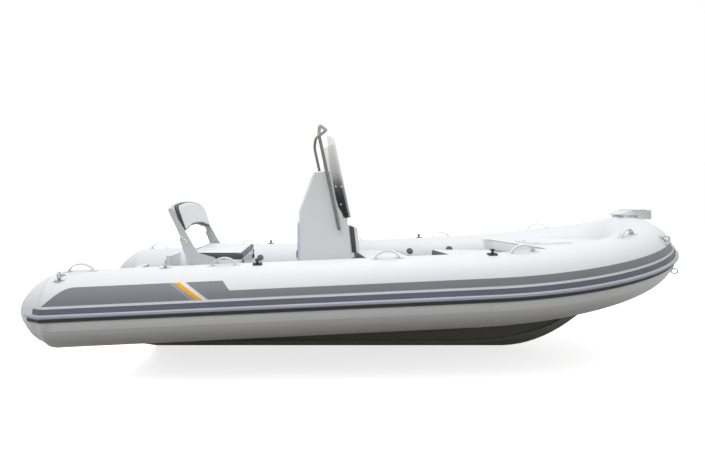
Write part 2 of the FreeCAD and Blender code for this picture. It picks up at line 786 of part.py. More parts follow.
def bow_deck_shape():
    """A block that stands on the hull, with a rim that reaches out to the tubes at deck height."""
    inner = plan_block(size("tube_mid_radius") - 15, deck_low)
    rim = plan_block(size("tube_bow_radius") * 0.41, deck_high - size("deck_rim"))
    block = inner.fuse(rim)
    far = size("stern_tip")
    high_end = deck_high + rise * (far - deck_aft)
    side = size("tube_offset") + size("tube_aft_radius")
    over = Part.makePolygon([
        Vector(deck_aft, -side, deck_high), Vector(far, -side, high_end),
        Vector(far, -side, high_end + ABOVE_ALL), Vector(deck_aft, -side, deck_high + ABOVE_ALL),
        Vector(deck_aft, -side, deck_high),
    ])
    block = block.cut(Part.Face(over).extrude(Vector(0, 2 * side, 0)))
    lap = size("hatch_lap")
    well = Part.makeBox(
        size("hatch_fore") - size("hatch_aft") - 2 * lap, 2 * (size("hatch_half") - lap), ABOVE_ALL,
        Vector(size("hatch_aft") + lap, -size("hatch_half") + lap, deck_high - size("well_depth")))
    return largest(clear_of_tubes(block.cut(well)).cut(hull))


feature("bow_deck", bow_deck_shape())


def hatch_shape():
    long = size("hatch_fore") - size("hatch_aft")
    half = size("hatch_half")
    plate = Part.makeBox(long, 2 * half, size("hatch_thick"), Vector(0, -half, 0))
    corners = [edge for edge in plate.Edges if upright(edge)]
    plate = plate.makeFillet(size("hatch_corner"), corners)
    radius = size("hinge_radius")
    axis = Vector(long + radius - size("hinge_sink"), -half + size("hinge_end"),
                  radius + size("hatch_hinge_clear"))
    barrel = Part.makeCylinder(radius, 2 * (half - size("hinge_end")), axis, Vector(0, 1, 0))
    plate = plate.fuse(barrel)
    plate.rotate(Vector(0, 0, 0), Vector(0, 1, 0), -math.degrees(math.atan(rise)))
    plate.translate(Vector(size("hatch_aft"), 0, deck_high + rise * (size("hatch_aft") - deck_aft)))
    return plate


feature("anchor_hatch", hatch_shape())


# Transom board with its motor cut-out, and the pad the motor clamps on
def transom_shape():
    off = size("tube_offset")
    thick = size("transom_thick")
    board = Part.makeBox(thick, 2 * off, size("transom_side_top") - size("hull_top"),
                         Vector(-size("transom_aft"), -off, size("hull_top")))
    notch = Part.makeBox(thick, size("transom_notch"), ABOVE_ALL,
                         Vector(-size("transom_aft"), -size("transom_notch") / 2, size("transom_mid_top")))
    return largest(clear_of_tubes(board.cut(notch)).cut(hull))


feature("transom", transom_shape())
motor_pad = doc.addObject("Part::Box", "motor_pad_block")
motor_pad.setExpression("Length", "Sizes.motor_pad_thick")
motor_pad.setExpression("Width", "Sizes.motor_pad_wide")
motor_pad.setExpression("Height", "Sizes.motor_pad_high")
motor_pad.setExpression("Placement.Base.x", "-Sizes.transom_aft - Sizes.motor_pad_thick")
motor_pad.setExpression("Placement.Base.y", "-Sizes.motor_pad_wide / 2")
motor_pad.setExpression("Placement.Base.z", "Sizes.motor_pad_low")
keep(motor_pad, "motor_pad")

# Helm seat: locker, lid, cushion and two rubber latches
FLOOR = "(Sizes.hull_top + Sizes.deck_thick)"
HELM_AFT = "(Sizes.seat_back_lap - Sizes.seat_back)"
HELM_FORE = "(-Sizes.seat_front - Sizes.seat_overhang)"
HELM_LID = "(Sizes.seat_height - Sizes.seat_cushion - Sizes.lid_thick)"
BARREL = "(Sizes.hinge_radius - Sizes.hinge_sink)"
locker("helm_seat_box", HELM_AFT, HELM_FORE, "Sizes.seat_half", HELM_LID)
hinged_lid("helm_seat_lid", HELM_AFT, HELM_FORE, "Sizes.seat_half", HELM_LID, "%s - %s" % (HELM_AFT, BARREL))
keep(slab("helm_cushion", "-Sizes.seat_back", "-Sizes.seat_front", "Sizes.seat_half",
          "Sizes.seat_height - Sizes.seat_cushion", "Sizes.seat_cushion", "Sizes.cushion_corner",
          "Sizes.cushion_edge"), "helm_seat_cushion")


def latch(side):
    """A foot on the locker's front and a strap that stands before the lid's edge."""
    face = value(HELM_FORE)
    lid = value(HELM_LID)
    wide = size("latch_wide")
    clear = size("latch_clear")
    y = side * size("latch_out") - wide / 2
    foot = Part.makeBox(clear + size("latch_thick"), wide, size("latch_drop") * 0.55,
                        Vector(face, y, lid - size("latch_drop")))
    strap_low = lid - size("latch_drop") * 0.6
    strap = Part.makeBox(size("latch_thick") * 0.6, wide * 0.7, lid + size("lid_thick") - clear - strap_low,
                         Vector(face + clear, y + wide * 0.15, strap_low))
    grip = Part.makeBox(size("latch_thick"), wide, size("latch_thick"),
                        Vector(face + clear, y, lid + size("lid_thick") - clear - size("latch_thick")))
    return foot.fuse([strap, grip]).removeSplitter()


feature("seat_latches", Part.makeCompound([latch(-1), latch(1)]))


# Backrest: L-shaped arm plates on pivots, a leaning board with an arched foot, and two pads
def arm_plate(side, word):
    aft = "-Sizes.elbow_aft"
    high = "Sizes.elbow_height"
    pivot = "-Sizes.pivot_aft"
    low = "Sizes.pivot_height"
    points = [
        (aft + " - 20", high + " - 30"), (aft + " - 20", high + " + 11"),
        (aft + " - 117", high + " + 226"), (aft + " - 92", high + " + 236"),
        (aft + " - 92 + Sizes.arm_wide + 72", high + " + 22"), (pivot + " - 116", low + " + 89"),
        (pivot + " + 9", low + " + 55"), (pivot + " + 35", low + " + 22"),
        (pivot + " + 35", low + " - 26"), (pivot + " - 15", low + " - 38"), (pivot + " - 190", low + " + 25"),
    ]
    body = drawn_body("arm_plate_" + word, "XZ_Plane", points, "Sizes.arm_thick", True)
    body.setExpression("Placement.Base.y", "%d * (Sizes.seat_half + Sizes.arm_gap + Sizes.arm_thick / 2)" % side)
    inner = (value(points[5][0]), value(points[5][1]))

    def across(edge):
        box = edge.BoundBox
        return box.YLength > 1 and box.XLength < 0.001 and box.ZLength < 0.001

    def at_inner(edge):
        place = edge.CenterOfMass
        return across(edge) and math.hypot(place.x - inner[0], place.z - inner[1]) < 1

    def elsewhere(edge):
        place = edge.CenterOfMass
        return across(edge) and math.hypot(place.x - inner[0], place.z - inner[1]) > size("arm_round") + 5

    round_edges(body, "arm_elbow_" + word, at_inner, "Sizes.arm_round")
    round_edges(body, "arm_corners_" + word, elsewhere, "Sizes.arm_tip_round")
    return body


LEAN = math.radians(size("back_lean"))
ALONG = Vector(-math.sin(LEAN), 0, math.cos(LEAN))
AHEAD = Vector(math.cos(LEAN), 0, math.sin(LEAN))
BACK_FOOT = Vector(-size("back_foot_aft"), 0, size("back_foot_height"))


def back_layer(near, far, half, trim=0.0):
    """A leaning slab from near to far ahead of the board's front, arched below and crowned above."""
    top = size("back_long") + size("back_crown")
    corners = [(near, 0), (far, 0), (far, top), (near, top)]
    ring = [BACK_FOOT + AHEAD * d + ALONG * s - Vector(0, half, 0) for d, s in corners]
    layer = Part.Face(Part.makePolygon(ring + ring[:1])).extrude(Vector(0, 2 * half, 0))
    low = size("back_foot_height") + (near + far) / 2 * AHEAD.z + trim
    high = low - 2 * trim + size("back_long") * ALONG.z
    x = -size("back_foot_aft") - 400
    foot = Part.Arc(Vector(x, -half, low), Vector(x, 0, low + size("back_arch")), Vector(x, half, low))
    head = Part.Arc(Vector(x, half, high), Vector(x, 0, high + size("back_crown")), Vector(x, -half, high))
    edges = [foot.toShape(), Part.makeLine(Vector(x, half, low), Vector(x, half, high)), head.toShape(),
             Part.makeLine(Vector(x, -half, high), Vector(x, -half, low))]
    outline = Part.Face(Part.Wire(edges)).extrude(Vector(800, 0, 0))
    heads = [edge for edge in outline.Edges if edge.BoundBox.XLength > 1 and edge.CenterOfMass.z > high - 1]
    outline = outline.makeFillet(size("back_corner"), heads)
    return layer.common(outline)


def elbow(side):
    y = side * (size("seat_half") + size("arm_gap"))
    return Part.makeCylinder(size("elbow_radius"), size("elbow_thick"),
                             Vector(-size("elbow_aft"), y, size("elbow_height")), Vector(0, -side, 0))


arms = [arm_plate(-1, "starboard"), arm_plate(1, "port")]
board_half = size("seat_half") + size("arm_gap") + size("arm_thick") / 2
board = back_layer(-size("board_thick"), 0, board_half)
frame = board.fuse([arms[0].Shape, arms[1].Shape, elbow(-1), elbow(1)])
feature("backrest_frame", one_solid(frame))
feature("backrest_cushion", back_layer(gap, gap + size("back_cushion"), size("seat_half")))
rear_near = -size("board_thick") - gap
feature("backrest_rear_pad", back_layer(rear_near - size("rear_pad"), rear_near,
                                        size("seat_half") - size("rear_pad_inset"), trim=15.0))

bosses = []
for side in (-1, 1):
    foot = Vector(-size("pivot_aft"), side * size("seat_half"), size("pivot_height"))
    bosses.append(Part.makeCylinder(size("pivot_radius"), size("arm_gap") - size("pivot_clear"), foot,
                                    Vector(0, side, 0)))
feature("backrest_pivots", Part.makeCompound(bosses))


# Console: a hollow moulding with a door in its aft face
def console_outline():
    low = size("hull_top") + size("deck_thick")
    return [
        Vector(-size("console_aft"), 0, low), Vector(-size("console_aft"), 0, size("dash_low")),
        Vector(-size("dash_top_aft"), 0, size("dash_top")), Vector(-size("brow_aft"), 0, size("brow_height")),
        Vector(-size("waist_aft"), 0, size("waist_height")),
        Vector(-size("shoulder_aft"), 0, size("shoulder_height")),
        Vector(-size("nose_aft"), 0, size("nose_height")), Vector(-size("shin_aft"), 0, size("shin_height")),
        Vector(-size("foot_aft"), 0, low),
    ]


def across_boat(wire, half):
    solid = Part.Face(wire).extrude(Vector(0, 2 * half, 0))
    solid.translate(Vector(0, -half, 0))
    return solid


console_ring = console_outline()
console_wire = Part.makePolygon(console_ring + console_ring[:1])
console_block = across_boat(console_wire, size("console_half"))
floor_level = console_ring[0].z


def console_edges():
    half = size("console_half")
    chosen = []
    for edge in console_block.Edges:
        box = edge.BoundBox
        at_side = box.YLength < 0.001 and abs(abs(box.YMin) - half) < 0.001
        if at_side and box.ZMax > floor_level + 1:
            chosen.append(edge)
    return chosen


def console_shape():
    wall = size("console_wall")
    outer = console_block.makeFillet(size("console_round"), console_edges())
    inner = across_boat(console_wire.makeOffset2D(-wall, 2), size("console_half") - wall)
    lap = size("door_lap")
    doorway = Part.makeBox(3 * wall, 2 * (size("door_half") - lap), size("door_high") - size("door_low") - 2 * lap,
                           Vector(-size("console_aft") - wall, -size("door_half") + lap, size("door_low") + lap))
    return outer.cut(inner).cut(doorway)


feature("console", console_shape())


def door_shape():
    half = size("door_half")
    aft = -size("console_aft") - size("door_proud")
    panel = Part.makeBox(size("door_proud"), 2 * half, size("door_high") - size("door_low"),
                         Vector(aft, -half, size("door_low")))
    corners = [edge for edge in panel.Edges if edge.BoundBox.XLength > 1]
    panel = panel.makeFillet(size("door_corner"), corners)
    radius = size("door_hinge_radius")
    barrel = Part.makeCylinder(radius, size("door_high") - size("door_low") - 2 * size("hinge_end"),
                               Vector(-size("console_aft") - radius, half + radius - size("hinge_sink"),
                                      size("door_low") + size("hinge_end")))
    return panel.fuse(barrel)


feature("console_door", door_shape())


# Windscreen: a bowed sheet with side wings
def between(low, high, height):
    share = (height - size("screen_low")) / (size("screen_top") - size("screen_low"))
    return low + (high - low) * share


def screen_wire(height, wing):
    thick = size("screen_thick")
    middle = -between(size("screen_mid_low"), size("screen_mid_high"), height)
    corner = -between(size("screen_corner_low"), size("screen_corner_high"), height)
    half = size("console_half") + thick - between(0, size("screen_taper"), height)
    outer = [Vector(-wing, -half, height), Vector(corner, -half, height), Vector(middle, 0, height),
             Vector(corner, half, height), Vector(-wing, half, height)]
    half = half - thick
    inner = [Vector(-wing, half, height), Vector(corner, half, height), Vector(middle - thick, 0, height),
             Vector(corner, -half, height), Vector(-wing, -half, height)]
    edges = []
    for a, b in ((outer, inner), (inner, outer)):
        edges.append(Part.makeLine(a[0], a[1]))
        edges.append(Part.Arc(a[1], a[2], a[3]).toShape())
        edges.append(Part.makeLine(a[3], a[4]))
        edges.append(Part.makeLine(a[4], b[0]))
    return Part.Wire(edges)


def screen_shape():
    levels = [(size("screen_low"), size("wing_low")), (size("wing_knee_height"), size("wing_knee")),
              (size("screen_top"), size("wing_top"))]
    sheet_of_acrylic = None
    for (low, low_wing), (high, high_wing) in zip(levels, levels[1:]):
        part = Part.makeLoft([screen_wire(low, low_wing), screen_wire(high, high_wing)], True, True)
        sheet_of_acrylic = part if sheet_of_acrylic is None else sheet_of_acrylic.fuse(part)
    return largest(sheet_of_acrylic.cut(console_block))


screen = screen_shape()
feature("windscreen", screen)


# Handrail: bent tube up each side of the console and across over the screen
def pipe(points, radius, round_by):
    edges = []
    last = points[0]
    for before, corner, after in zip(points, points[1:], points[2:]):
        back = (before - corner).normalize()
        ahead = (after - corner).normalize()
        start = corner + back * round_by
        end = corner + ahead * round_by
        inward = (back + ahead).normalize()
        half_turn = back.getAngle(ahead) / 2.0
        centre = corner + inward * (round_by / math.cos(half_turn))
        middle = centre - inward * (round_by * math.tan(half_turn))
        edges.append(Part.makeLine(last, start))
        edges.append(Part.Arc(start, middle, end).toShape())
        last = end
    edges.append(Part.makeLine(last, points[-1]))
    ring = Part.Wire([Part.Circle(points[0], points[1] - points[0], radius).toShape()])
    return Part.Wire(edges).makePipeShell([ring], True, False)


def handrail_shape():
    y = size("console_half") + size("handrail_out")
    foot = Vector(-size("handrail_foot_aft"), 0, size("handrail_foot"))
    shoulder = Vector(-size("handrail_shoulder_aft"), 0, size("handrail_shoulder"))
    cross = Vector(-size("handrail_shoulder_aft") + 11, 0, size("handrail_cross"))
    inset = Vector(0, size("handrail_cross_in"), 0)
    out = Vector(0, y, 0)
    middle = cross + Vector(size("handrail_bow"), 0, size("handrail_crown"))
    path = [foot - out, shoulder - out, cross - out + inset, middle, cross + out - inset, shoulder + out,
            foot + out]
    rail = pipe(path, size("handrail_radius"), size("handrail_bend"))
    feet = []
    for side in (-1, 1):
        for height in (size("handrail_foot_low"), size("handrail_foot_high")):
            share = (height - foot.z) / (shoulder.z - foot.z)
            x = foot.x + (shoulder.x - foot.x) * share
            feet.append(Part.makeCylinder(size("handrail_foot_radius"), size("handrail_out"),
                                          Vector(x, side * size("console_half"), height), Vector(0, side, 0)))
    return one_solid(rail.fuse(feet).cut(screen))


feature("handrail", handrail_shape())


# Padding on the front of the console
def console_front(height):
    run = (size("nose_height") - height) / (size("nose_height") - size("shin_height"))
    return -size("nose_aft") + (size("nose_aft") - size("shin_aft")) * run


def front_layer(low, high, near, far, half):
    """A slab that lies along the console's sloping front, from near to far ahead of it."""
    ring = [Vector(console_front(high) + near, 0, high), Vector(console_front(high) + far, 0, high),
            Vector(console_front(low) + far, 0, low), Vector(console_front(low) + near, 0, low)]
    return across_boat(Part.makePolygon(ring + ring[:1]), half)


board_thick = size("front_board_thick")
board_low = size("front_board_low")
board_high = size("front_board_high")
feature("console_backrest_board", front_layer(board_low, board_high, 0, board_thick, size("front_board_half")))
front_pad = front_layer(board_low + 5, board_high - 5, board_thick, board_thick + size("front_pad_thick"),
                        size("front_pad_half"))
pad_face = [edge for edge in front_pad.Edges if edge.CenterOfMass.x > console_front(edge.CenterOfMass.z)
            + board_thick + size("front_pad_thick") - 1]
feature("console_backrest_cushion", front_pad.makeFillet(size("cushion_edge"), pad_face))

# Front seat and bow seat
FRONT_BOX_AFT = "(-Sizes.nose_aft + 61)"
FRONT_LID = "(Sizes.front_seat_height - Sizes.front_cushion - Sizes.lid_thick)"
locker("front_seat_box", FRONT_BOX_AFT, "Sizes.front_seat_fore", "Sizes.front_seat_half", FRONT_LID)
hinged_lid("front_seat_lid", "-Sizes.front_seat_aft", "Sizes.front_seat_fore", "Sizes.front_seat_half", FRONT_LID,
           "Sizes.front_seat_fore + %s" % BARREL)
keep(slab("front_cushion_pad", "-Sizes.front_seat_aft", "Sizes.front_seat_fore", "Sizes.front_seat_half",
          "Sizes.front_seat_height - Sizes.front_cushion", "Sizes.front_cushion", "Sizes.cushion_corner",
          "Sizes.cushion_edge"), "front_seat_cushion")
BOW_AFT = "(Sizes.bow_seat_aft + Sizes.seat_back_lap)"
BOW_HALF = "(Sizes.bow_seat_half - Sizes.bow_side_lap)"
BOW_LID = "(Sizes.bow_seat_height - Sizes.bow_cushion - Sizes.lid_thick)"
locker("bow_seat_box", BOW_AFT, "Sizes.bow_deck_aft", BOW_HALF, BOW_LID)
hinged_lid("bow_seat_lid", BOW_AFT, "Sizes.bow_seat_fore", BOW_HALF, BOW_LID, "%s - %s" % (BOW_AFT, BARREL))
keep(slab("bow_cushion_pad", "Sizes.bow_seat_aft", "Sizes.bow_seat_fore", "Sizes.bow_seat_half",
          "Sizes.bow_seat_height - Sizes.bow_cushion", "Sizes.bow_cushion", "Sizes.cushion_corner",
          "Sizes.cushion_edge"), "bow_seat_cushion")


# Step plate over the bow tube, with a tread pad
def step_plan(inset, low, tall):
    aft = size("step_aft") + inset
    fore = size("step_fore") - inset
    half = size("step_half") - inset
    aft_half = size("step_aft_half") - inset
    fore_half = size("step_fore_half") - inset
    break_x = (size("riser_aft") + size("step_break")) / 2
    tail = Part.Arc(Vector(aft, aft_half, low), Vector((aft + break_x) / 2, (half + aft_half) * 0.53, low),
                    Vector(break_x, half, low))
    nose = Part.Arc(Vector(break_x, half, low), Vector((fore + break_x) / 2, (half + fore_half) * 0.56, low),
                    Vector(fore, fore_half, low))
    port = [tail.toShape(), nose.toShape()]
    starboard = [edge.mirror(Vector(0, 0, low), Vector(0, 1, 0)) for edge in port]
    ends = [Part.makeLine(Vector(aft, -aft_half, low), Vector(aft, aft_half, low)),
            Part.makeLine(Vector(fore, -fore_half, low), Vector(fore, fore_half, low))]
    wire = Part.Wire(Part.__sortEdges__(port + starboard + ends))
    return Part.Face(wire).extrude(Vector(0, 0, tall))


def step_plate():
    top = size("step_top")
    tip = top - size("step_tip_drop")
    slope_end = (size("riser_aft") + size("step_break")) / 2
    under = top - size("step_thin")
    deep = top - size("step_deep")
    side = [
        (size("step_aft"), tip - size("step_tip_thick")), (size("step_aft"), tip), (slope_end, top),
        (size("step_fore"), top), (size("step_fore"), deep), (size("step_break"), deep),
        (size("step_break"), under),
    ]
    ring = [Vector(x, 0, z) for x, z in side]
    body = across_boat(Part.makePolygon(ring + ring[:1]), size("step_half"))
    plan = step_plan(0.0, deep, top - deep)
    half = size("riser_half")
    riser = Part.makeBox(size("step_break") - size("riser_aft"), 2 * half, under - deep + 4,
                         Vector(size("riser_aft"), -half, deep))
    return largest(body.common(plan).fuse(riser).cut(bow_room))


feature("bow_plate", step_plate())
flat_from = (size("riser_aft") + size("step_break")) / 2 + 4
tread = step_plan(size("step_pad_inset"), size("step_top"), size("step_pad_thick"))
ahead_of_slope = Part.makeBox(ABOVE_ALL, ABOVE_ALL, ABOVE_ALL, Vector(flat_from, -ABOVE_ALL / 2, size("step_top")))
feature("bow_plate_pad", tread.common(ahead_of_slope))


# Fittings on the tubes, each made lying at the origin and then seated on the tube
def station_at(x, side):
    if x <= size("bend_start"):
        return side_station(x, side)
    share = (x - size("bend_start")) / (size("bow_axis") - size("bend_start"))
    angle = math.degrees(math.asin(share))
    return bend_station(angle if side < 0 else 180 - angle)


def seat_on(shape, x, side, lift):
    """Seat a fitting on the tube at x, lift degrees up from the tube's outermost line."""
    centre, out, radius = station_at(x, side)
    angle = math.radians(lift)
    spoke = out * math.cos(angle) + Vector(0, 0, 1) * math.sin(angle)
    along = (station_at(x + 5, side)[0] - station_at(x - 5, side)[0]).normalize()
    normal = (spoke - along * spoke.dot(along)).normalize()
    shape = shape.copy()
    shape.Placement = Placement(centre + spoke * (radius + gap), Rotation(along, normal.cross(along), normal, "ZXY"))
    return largest(clear_of_tubes(shape))


def on_both_sides(fitting, places):
    seated = []
    for side in (-1, 1):
        for x, lift in places:
            seated.append(seat_on(fitting, x, side, lift))
    return Part.makeCompound(seated)


SEAT_DEEP = 5.0


def grab_handle():
    """A strap in a low arch between two glued patches."""
    half = size("handle_span") / 2
    high = size("handle_rise")
    thick = size("handle_thick")
    wide = size("handle_wide")
    outer = Part.Arc(Vector(-half, -wide / 2, -SEAT_DEEP), Vector(0, -wide / 2, high),
                     Vector(half, -wide / 2, -SEAT_DEEP))
    inner = Part.Arc(Vector(half - thick, -wide / 2, -SEAT_DEEP), Vector(0, -wide / 2, high - thick),
                     Vector(thick - half, -wide / 2, -SEAT_DEEP))
    edges = [outer.toShape(), Part.makeLine(Vector(half, -wide / 2, -SEAT_DEEP), inner.StartPoint),
             inner.toShape(), Part.makeLine(inner.EndPoint, Vector(-half, -wide / 2, -SEAT_DEEP))]
    strap = Part.Face(Part.Wire(edges)).extrude(Vector(0, wide, 0))
    patch = size("handle_patch")
    ends = []
    for way in (-1, 1):
        ends.append(Part.makeBox(patch, patch, SEAT_DEEP + 2,
                                 Vector(way * (half - thick / 2) - patch / 2, -patch / 2, -SEAT_DEEP)))
    return strap.fuse(ends)


def cleat():
    long = size("cleat_long")
    wide = size("cleat_wide")
    base = Part.makeBox(long, wide, size("cleat_base") + SEAT_DEEP, Vector(-long / 2, -wide / 2, -SEAT_DEEP))
    corners = [edge for edge in base.Edges if upright(edge)]
    base = base.makeFillet(wide / 4, corners)
    stem = size("cleat_stem")
    head = size("cleat_head")
    high = size("cleat_high")
    outline = [Vector(0, 0, 0), Vector(stem, 0, 0), Vector(stem, 0, high - 14), Vector(head, 0, high - 10),
               Vector(head, 0, high - 4), Vector(head - 5, 0, high), Vector(0, 0, high), Vector(0, 0, 0)]
    post = Part.Face(Part.makePolygon(outline)).revolve(Vector(0, 0, 0), Vector(0, 0, 1), 360)
    return base.fuse(post)


def valve():
    flange = Part.makeCylinder(size("valve_radius"), SEAT_DEEP + size("valve_high") / 2, Vector(0, 0, -SEAT_DEEP))
    cap = Part.makeCylinder(size("valve_cap"), size("valve_high"))
    return flange.fuse(cap)


RING_SIDES = 10


def lifting_ring():
    """A round patch, with a ring held to it by a webbing loop."""
    thick = size("ring_patch_thick")
    patch = Part.makeCylinder(size("ring_patch"), SEAT_DEEP + thick, Vector(0, 0, -SEAT_DEEP))
    bar = size("ring_bar")
    middle = Vector(0, 0, thick + size("ring_radius"))
    section = []
    for corner in range(RING_SIDES + 1):
        turn = math.radians(360.0 * (corner + 0.5) / RING_SIDES)
        section.append(Vector(bar * math.sin(turn), 0, middle.z + size("ring_radius") + bar * math.cos(turn)))
    loop = Part.Face(Part.makePolygon(section)).revolve(middle, Vector(1, 0, 0), 360)
    web = size("ring_web")
    webbing = Part.makeBox(3 * bar, web, thick + 2 * bar, Vector(-1.5 * bar, -web / 2, 0))
    return patch.fuse([loop, webbing])


HANDLE_PLACES = [(-2035, 82), (-1090, 82), (-10, 82), (890, 82), (1750, 82)]
CLEAT_PLACES = [(-867, 78), (680, 78)]
VALVE_PLACES = [(-960, 148), (520, 148), (930, 148)]
RING_PLACES = [(-2130, 60), (-1480, 84), (1960, 40), (2040, -27)]
feature("grab_handles", on_both_sides(grab_handle(), HANDLE_PLACES))
feature("cleats", on_both_sides(cleat(), CLEAT_PLACES))
feature("valves", on_both_sides(valve(), VALVE_PLACES))
feature("lifting_rings", on_both_sides(lifting_ring(), RING_PLACES))

doc.recompute()
for obj in doc.Objects:
    state = obj.State
    if "Invalid" in state or "Error" in state:
        raise RuntimeError("%s failed: %s" % (obj.Label, state))
for obj in NODES:
    shape = obj.Shape
    if shape.isNull() or not shape.isValid() or not shape.Solids:
        raise RuntimeError("%s has no valid shape" % obj.Label)
for obj in NODES:
    obj.Shape.exportStep("parts/%s.step" % obj.Label)
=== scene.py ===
import bpy
import bmesh
import math
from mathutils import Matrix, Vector
from mathutils.bvhtree import BVHTree


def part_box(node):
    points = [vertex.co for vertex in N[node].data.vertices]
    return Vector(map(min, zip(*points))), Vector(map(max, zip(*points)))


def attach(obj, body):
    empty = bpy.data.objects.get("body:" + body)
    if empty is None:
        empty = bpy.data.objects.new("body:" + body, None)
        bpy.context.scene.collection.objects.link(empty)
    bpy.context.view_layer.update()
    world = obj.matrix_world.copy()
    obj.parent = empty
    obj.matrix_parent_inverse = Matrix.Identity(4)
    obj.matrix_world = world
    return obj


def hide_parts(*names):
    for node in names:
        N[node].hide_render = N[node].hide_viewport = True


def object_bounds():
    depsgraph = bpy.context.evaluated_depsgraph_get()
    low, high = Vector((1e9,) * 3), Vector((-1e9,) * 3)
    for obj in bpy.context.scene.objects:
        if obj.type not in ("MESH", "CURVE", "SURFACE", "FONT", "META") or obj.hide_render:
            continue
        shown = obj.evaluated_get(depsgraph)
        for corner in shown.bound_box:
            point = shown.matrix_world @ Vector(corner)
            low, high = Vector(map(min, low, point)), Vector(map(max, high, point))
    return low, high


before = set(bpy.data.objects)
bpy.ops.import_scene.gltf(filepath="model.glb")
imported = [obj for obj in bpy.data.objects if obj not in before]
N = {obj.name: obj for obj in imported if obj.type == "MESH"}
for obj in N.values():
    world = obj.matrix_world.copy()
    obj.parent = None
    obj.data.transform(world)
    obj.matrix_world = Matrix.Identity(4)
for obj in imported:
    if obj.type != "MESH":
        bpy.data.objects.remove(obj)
CAD_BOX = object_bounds()
scene = bpy.context.scene

# Camera: level, looking to port, a little aft of amidships. Frame, focal length and vanishing point in pixels
PHOTO_WIDTH, PHOTO_HEIGHT, FOCAL = 705.0, 470.0, 457.0
VANISH = (294.0, 209.5)
EYE_PLACE = (-0.6265, -3.898, 0.948)
cam = bpy.data.cameras.new("camera")
cam.sensor_width = 36.0
cam.lens = cam.sensor_width * FOCAL / PHOTO_WIDTH
cam.shift_x = (PHOTO_WIDTH / 2 - VANISH[0]) / PHOTO_WIDTH
cam.shift_y = -(PHOTO_HEIGHT / 2 - VANISH[1]) / PHOTO_WIDTH
cam.clip_end = 200.0
eye = bpy.data.objects.new("camera", cam)
eye.location = EYE_PLACE
eye.rotation_euler = (math.radians(90), 0, 0)
scene.collection.objects.link(eye)
scene.camera = eye


# Node helpers
def shader(name):
    mat = bpy.data.materials.new(name)
    mat.use_nodes = True
    nodes = mat.node_tree.nodes
    return mat, nodes, mat.node_tree.links, nodes["Principled BSDF"]


def object_coords(nodes, links, scale=(1, 1, 1)):
    coords = nodes.new("ShaderNodeTexCoord")
    mapping = nodes.new("ShaderNodeMapping")
    mapping.inputs["Scale"].default_value = scale
    links.new(coords.outputs["Object"], mapping.inputs["Vector"])
    return mapping.outputs["Vector"]


def noise_node(nodes, links, vector, scale, detail=4.0, rough=0.55):
    node = nodes.new("ShaderNodeTexNoise")
    node.inputs["Scale"].default_value = scale
    node.inputs["Detail"].default_value = detail
    node.inputs["Roughness"].default_value = rough
    links.new(vector, node.inputs["Vector"])
    return node.outputs["Fac"]


def math_node(nodes, links, operation, a, b=None):
    node = nodes.new("ShaderNodeMath")
    node.operation = operation
    for socket, value in zip(node.inputs, (a, b)):
        if value is None:
            continue
        if isinstance(value, (int, float)):
            socket.default_value = value
        else:
            links.new(value, socket)
    return node.outputs["Value"]


def map_range(nodes, links, value, low, high, to_low=0.0, to_high=1.0):
    node = nodes.new("ShaderNodeMapRange")
    node.inputs["From Min"].default_value = low
    node.inputs["From Max"].default_value = high
    node.inputs["To Min"].default_value = to_low
    node.inputs["To Max"].default_value = to_high
    links.new(value, node.inputs["Value"])
    return node.outputs["Result"]


def ramp(nodes, links, fac, stops):
    node = nodes.new("ShaderNodeValToRGB")
    els = node.color_ramp.elements
    while len(els) < len(stops):
        els.new(0.5)
    for el, (pos, col) in zip(els, stops):
        el.position = pos
        el.color = (*col, 1.0)
    links.new(fac, node.inputs["Fac"])
    return node.outputs["Color"]


def mix_colour(nodes, links, fac, a, b):
    node = nodes.new("ShaderNodeMix")
    node.data_type = "RGBA"
    links.new(fac, node.inputs[0])
    for socket, value in ((node.inputs[6], a), (node.inputs[7], b)):
        if isinstance(value, tuple):
            socket.default_value = (*value, 1.0)
        else:
            links.new(value, socket)
    return node.outputs[2]


def bump(nodes, links, height, strength, distance, before=None):
    node = nodes.new("ShaderNodeBump")
    node.inputs["Strength"].default_value = strength
    node.inputs["Distance"].default_value = distance
    links.new(height, node.inputs["Height"])
    if before is not None:
        links.new(before, node.inputs["Normal"])
    return node.outputs["Normal"]


def srgb(r, g, b):
    """Linear colour from a 0 to 255 one."""
    def one(c):
        c = c / 255.0
        return c / 12.92 if c <= 0.04045 else ((c + 0.055) / 1.055) ** 2.4
    return (one(r), one(g), one(b))


def shades(colour, vary):
    return tuple(c * (1 - vary) for c in colour), tuple(min(c * (1 + vary), 1) for c in colour)


def drifting(nodes, links, vec, scale, colour, vary, detail=4.0):
    """A colour that drifts a little either way with slow noise."""
    low, high = shades(colour, vary)
    return ramp(nodes, links, noise_node(nodes, links, vec, scale, detail), [(0.3, low), (0.7, high)])


def rough_drift(nodes, links, vec, scale, rough, spread=0.06):
    drift = noise_node(nodes, links, vec, scale)
    return map_range(nodes, links, drift, 0.25, 0.75, max(rough - spread, 0.02), min(rough + spread, 1.0))


def finish(name, colour, rough, vary, scale, grain, grain_scale, grain_deep=0.0006, metal=0.0, coat=0.0):
    """A finish with slow colour drift, roughness drift, and fine grain as bump."""
    mat, nodes, links, bsdf = shader(name)
    vec = object_coords(nodes, links)
    links.new(drifting(nodes, links, vec, scale, colour, vary), bsdf.inputs["Base Color"])
    links.new(rough_drift(nodes, links, vec, scale * 5, rough), bsdf.inputs["Roughness"])
    bsdf.inputs["Metallic"].default_value = metal
    bsdf.inputs["Coat Weight"].default_value = coat
    bsdf.inputs["Coat Roughness"].default_value = 0.12
    fine = noise_node(nodes, links, vec, grain_scale, 2.0)
    links.new(bump(nodes, links, fine, grain, grain_deep), bsdf.inputs["Normal"])
    return mat


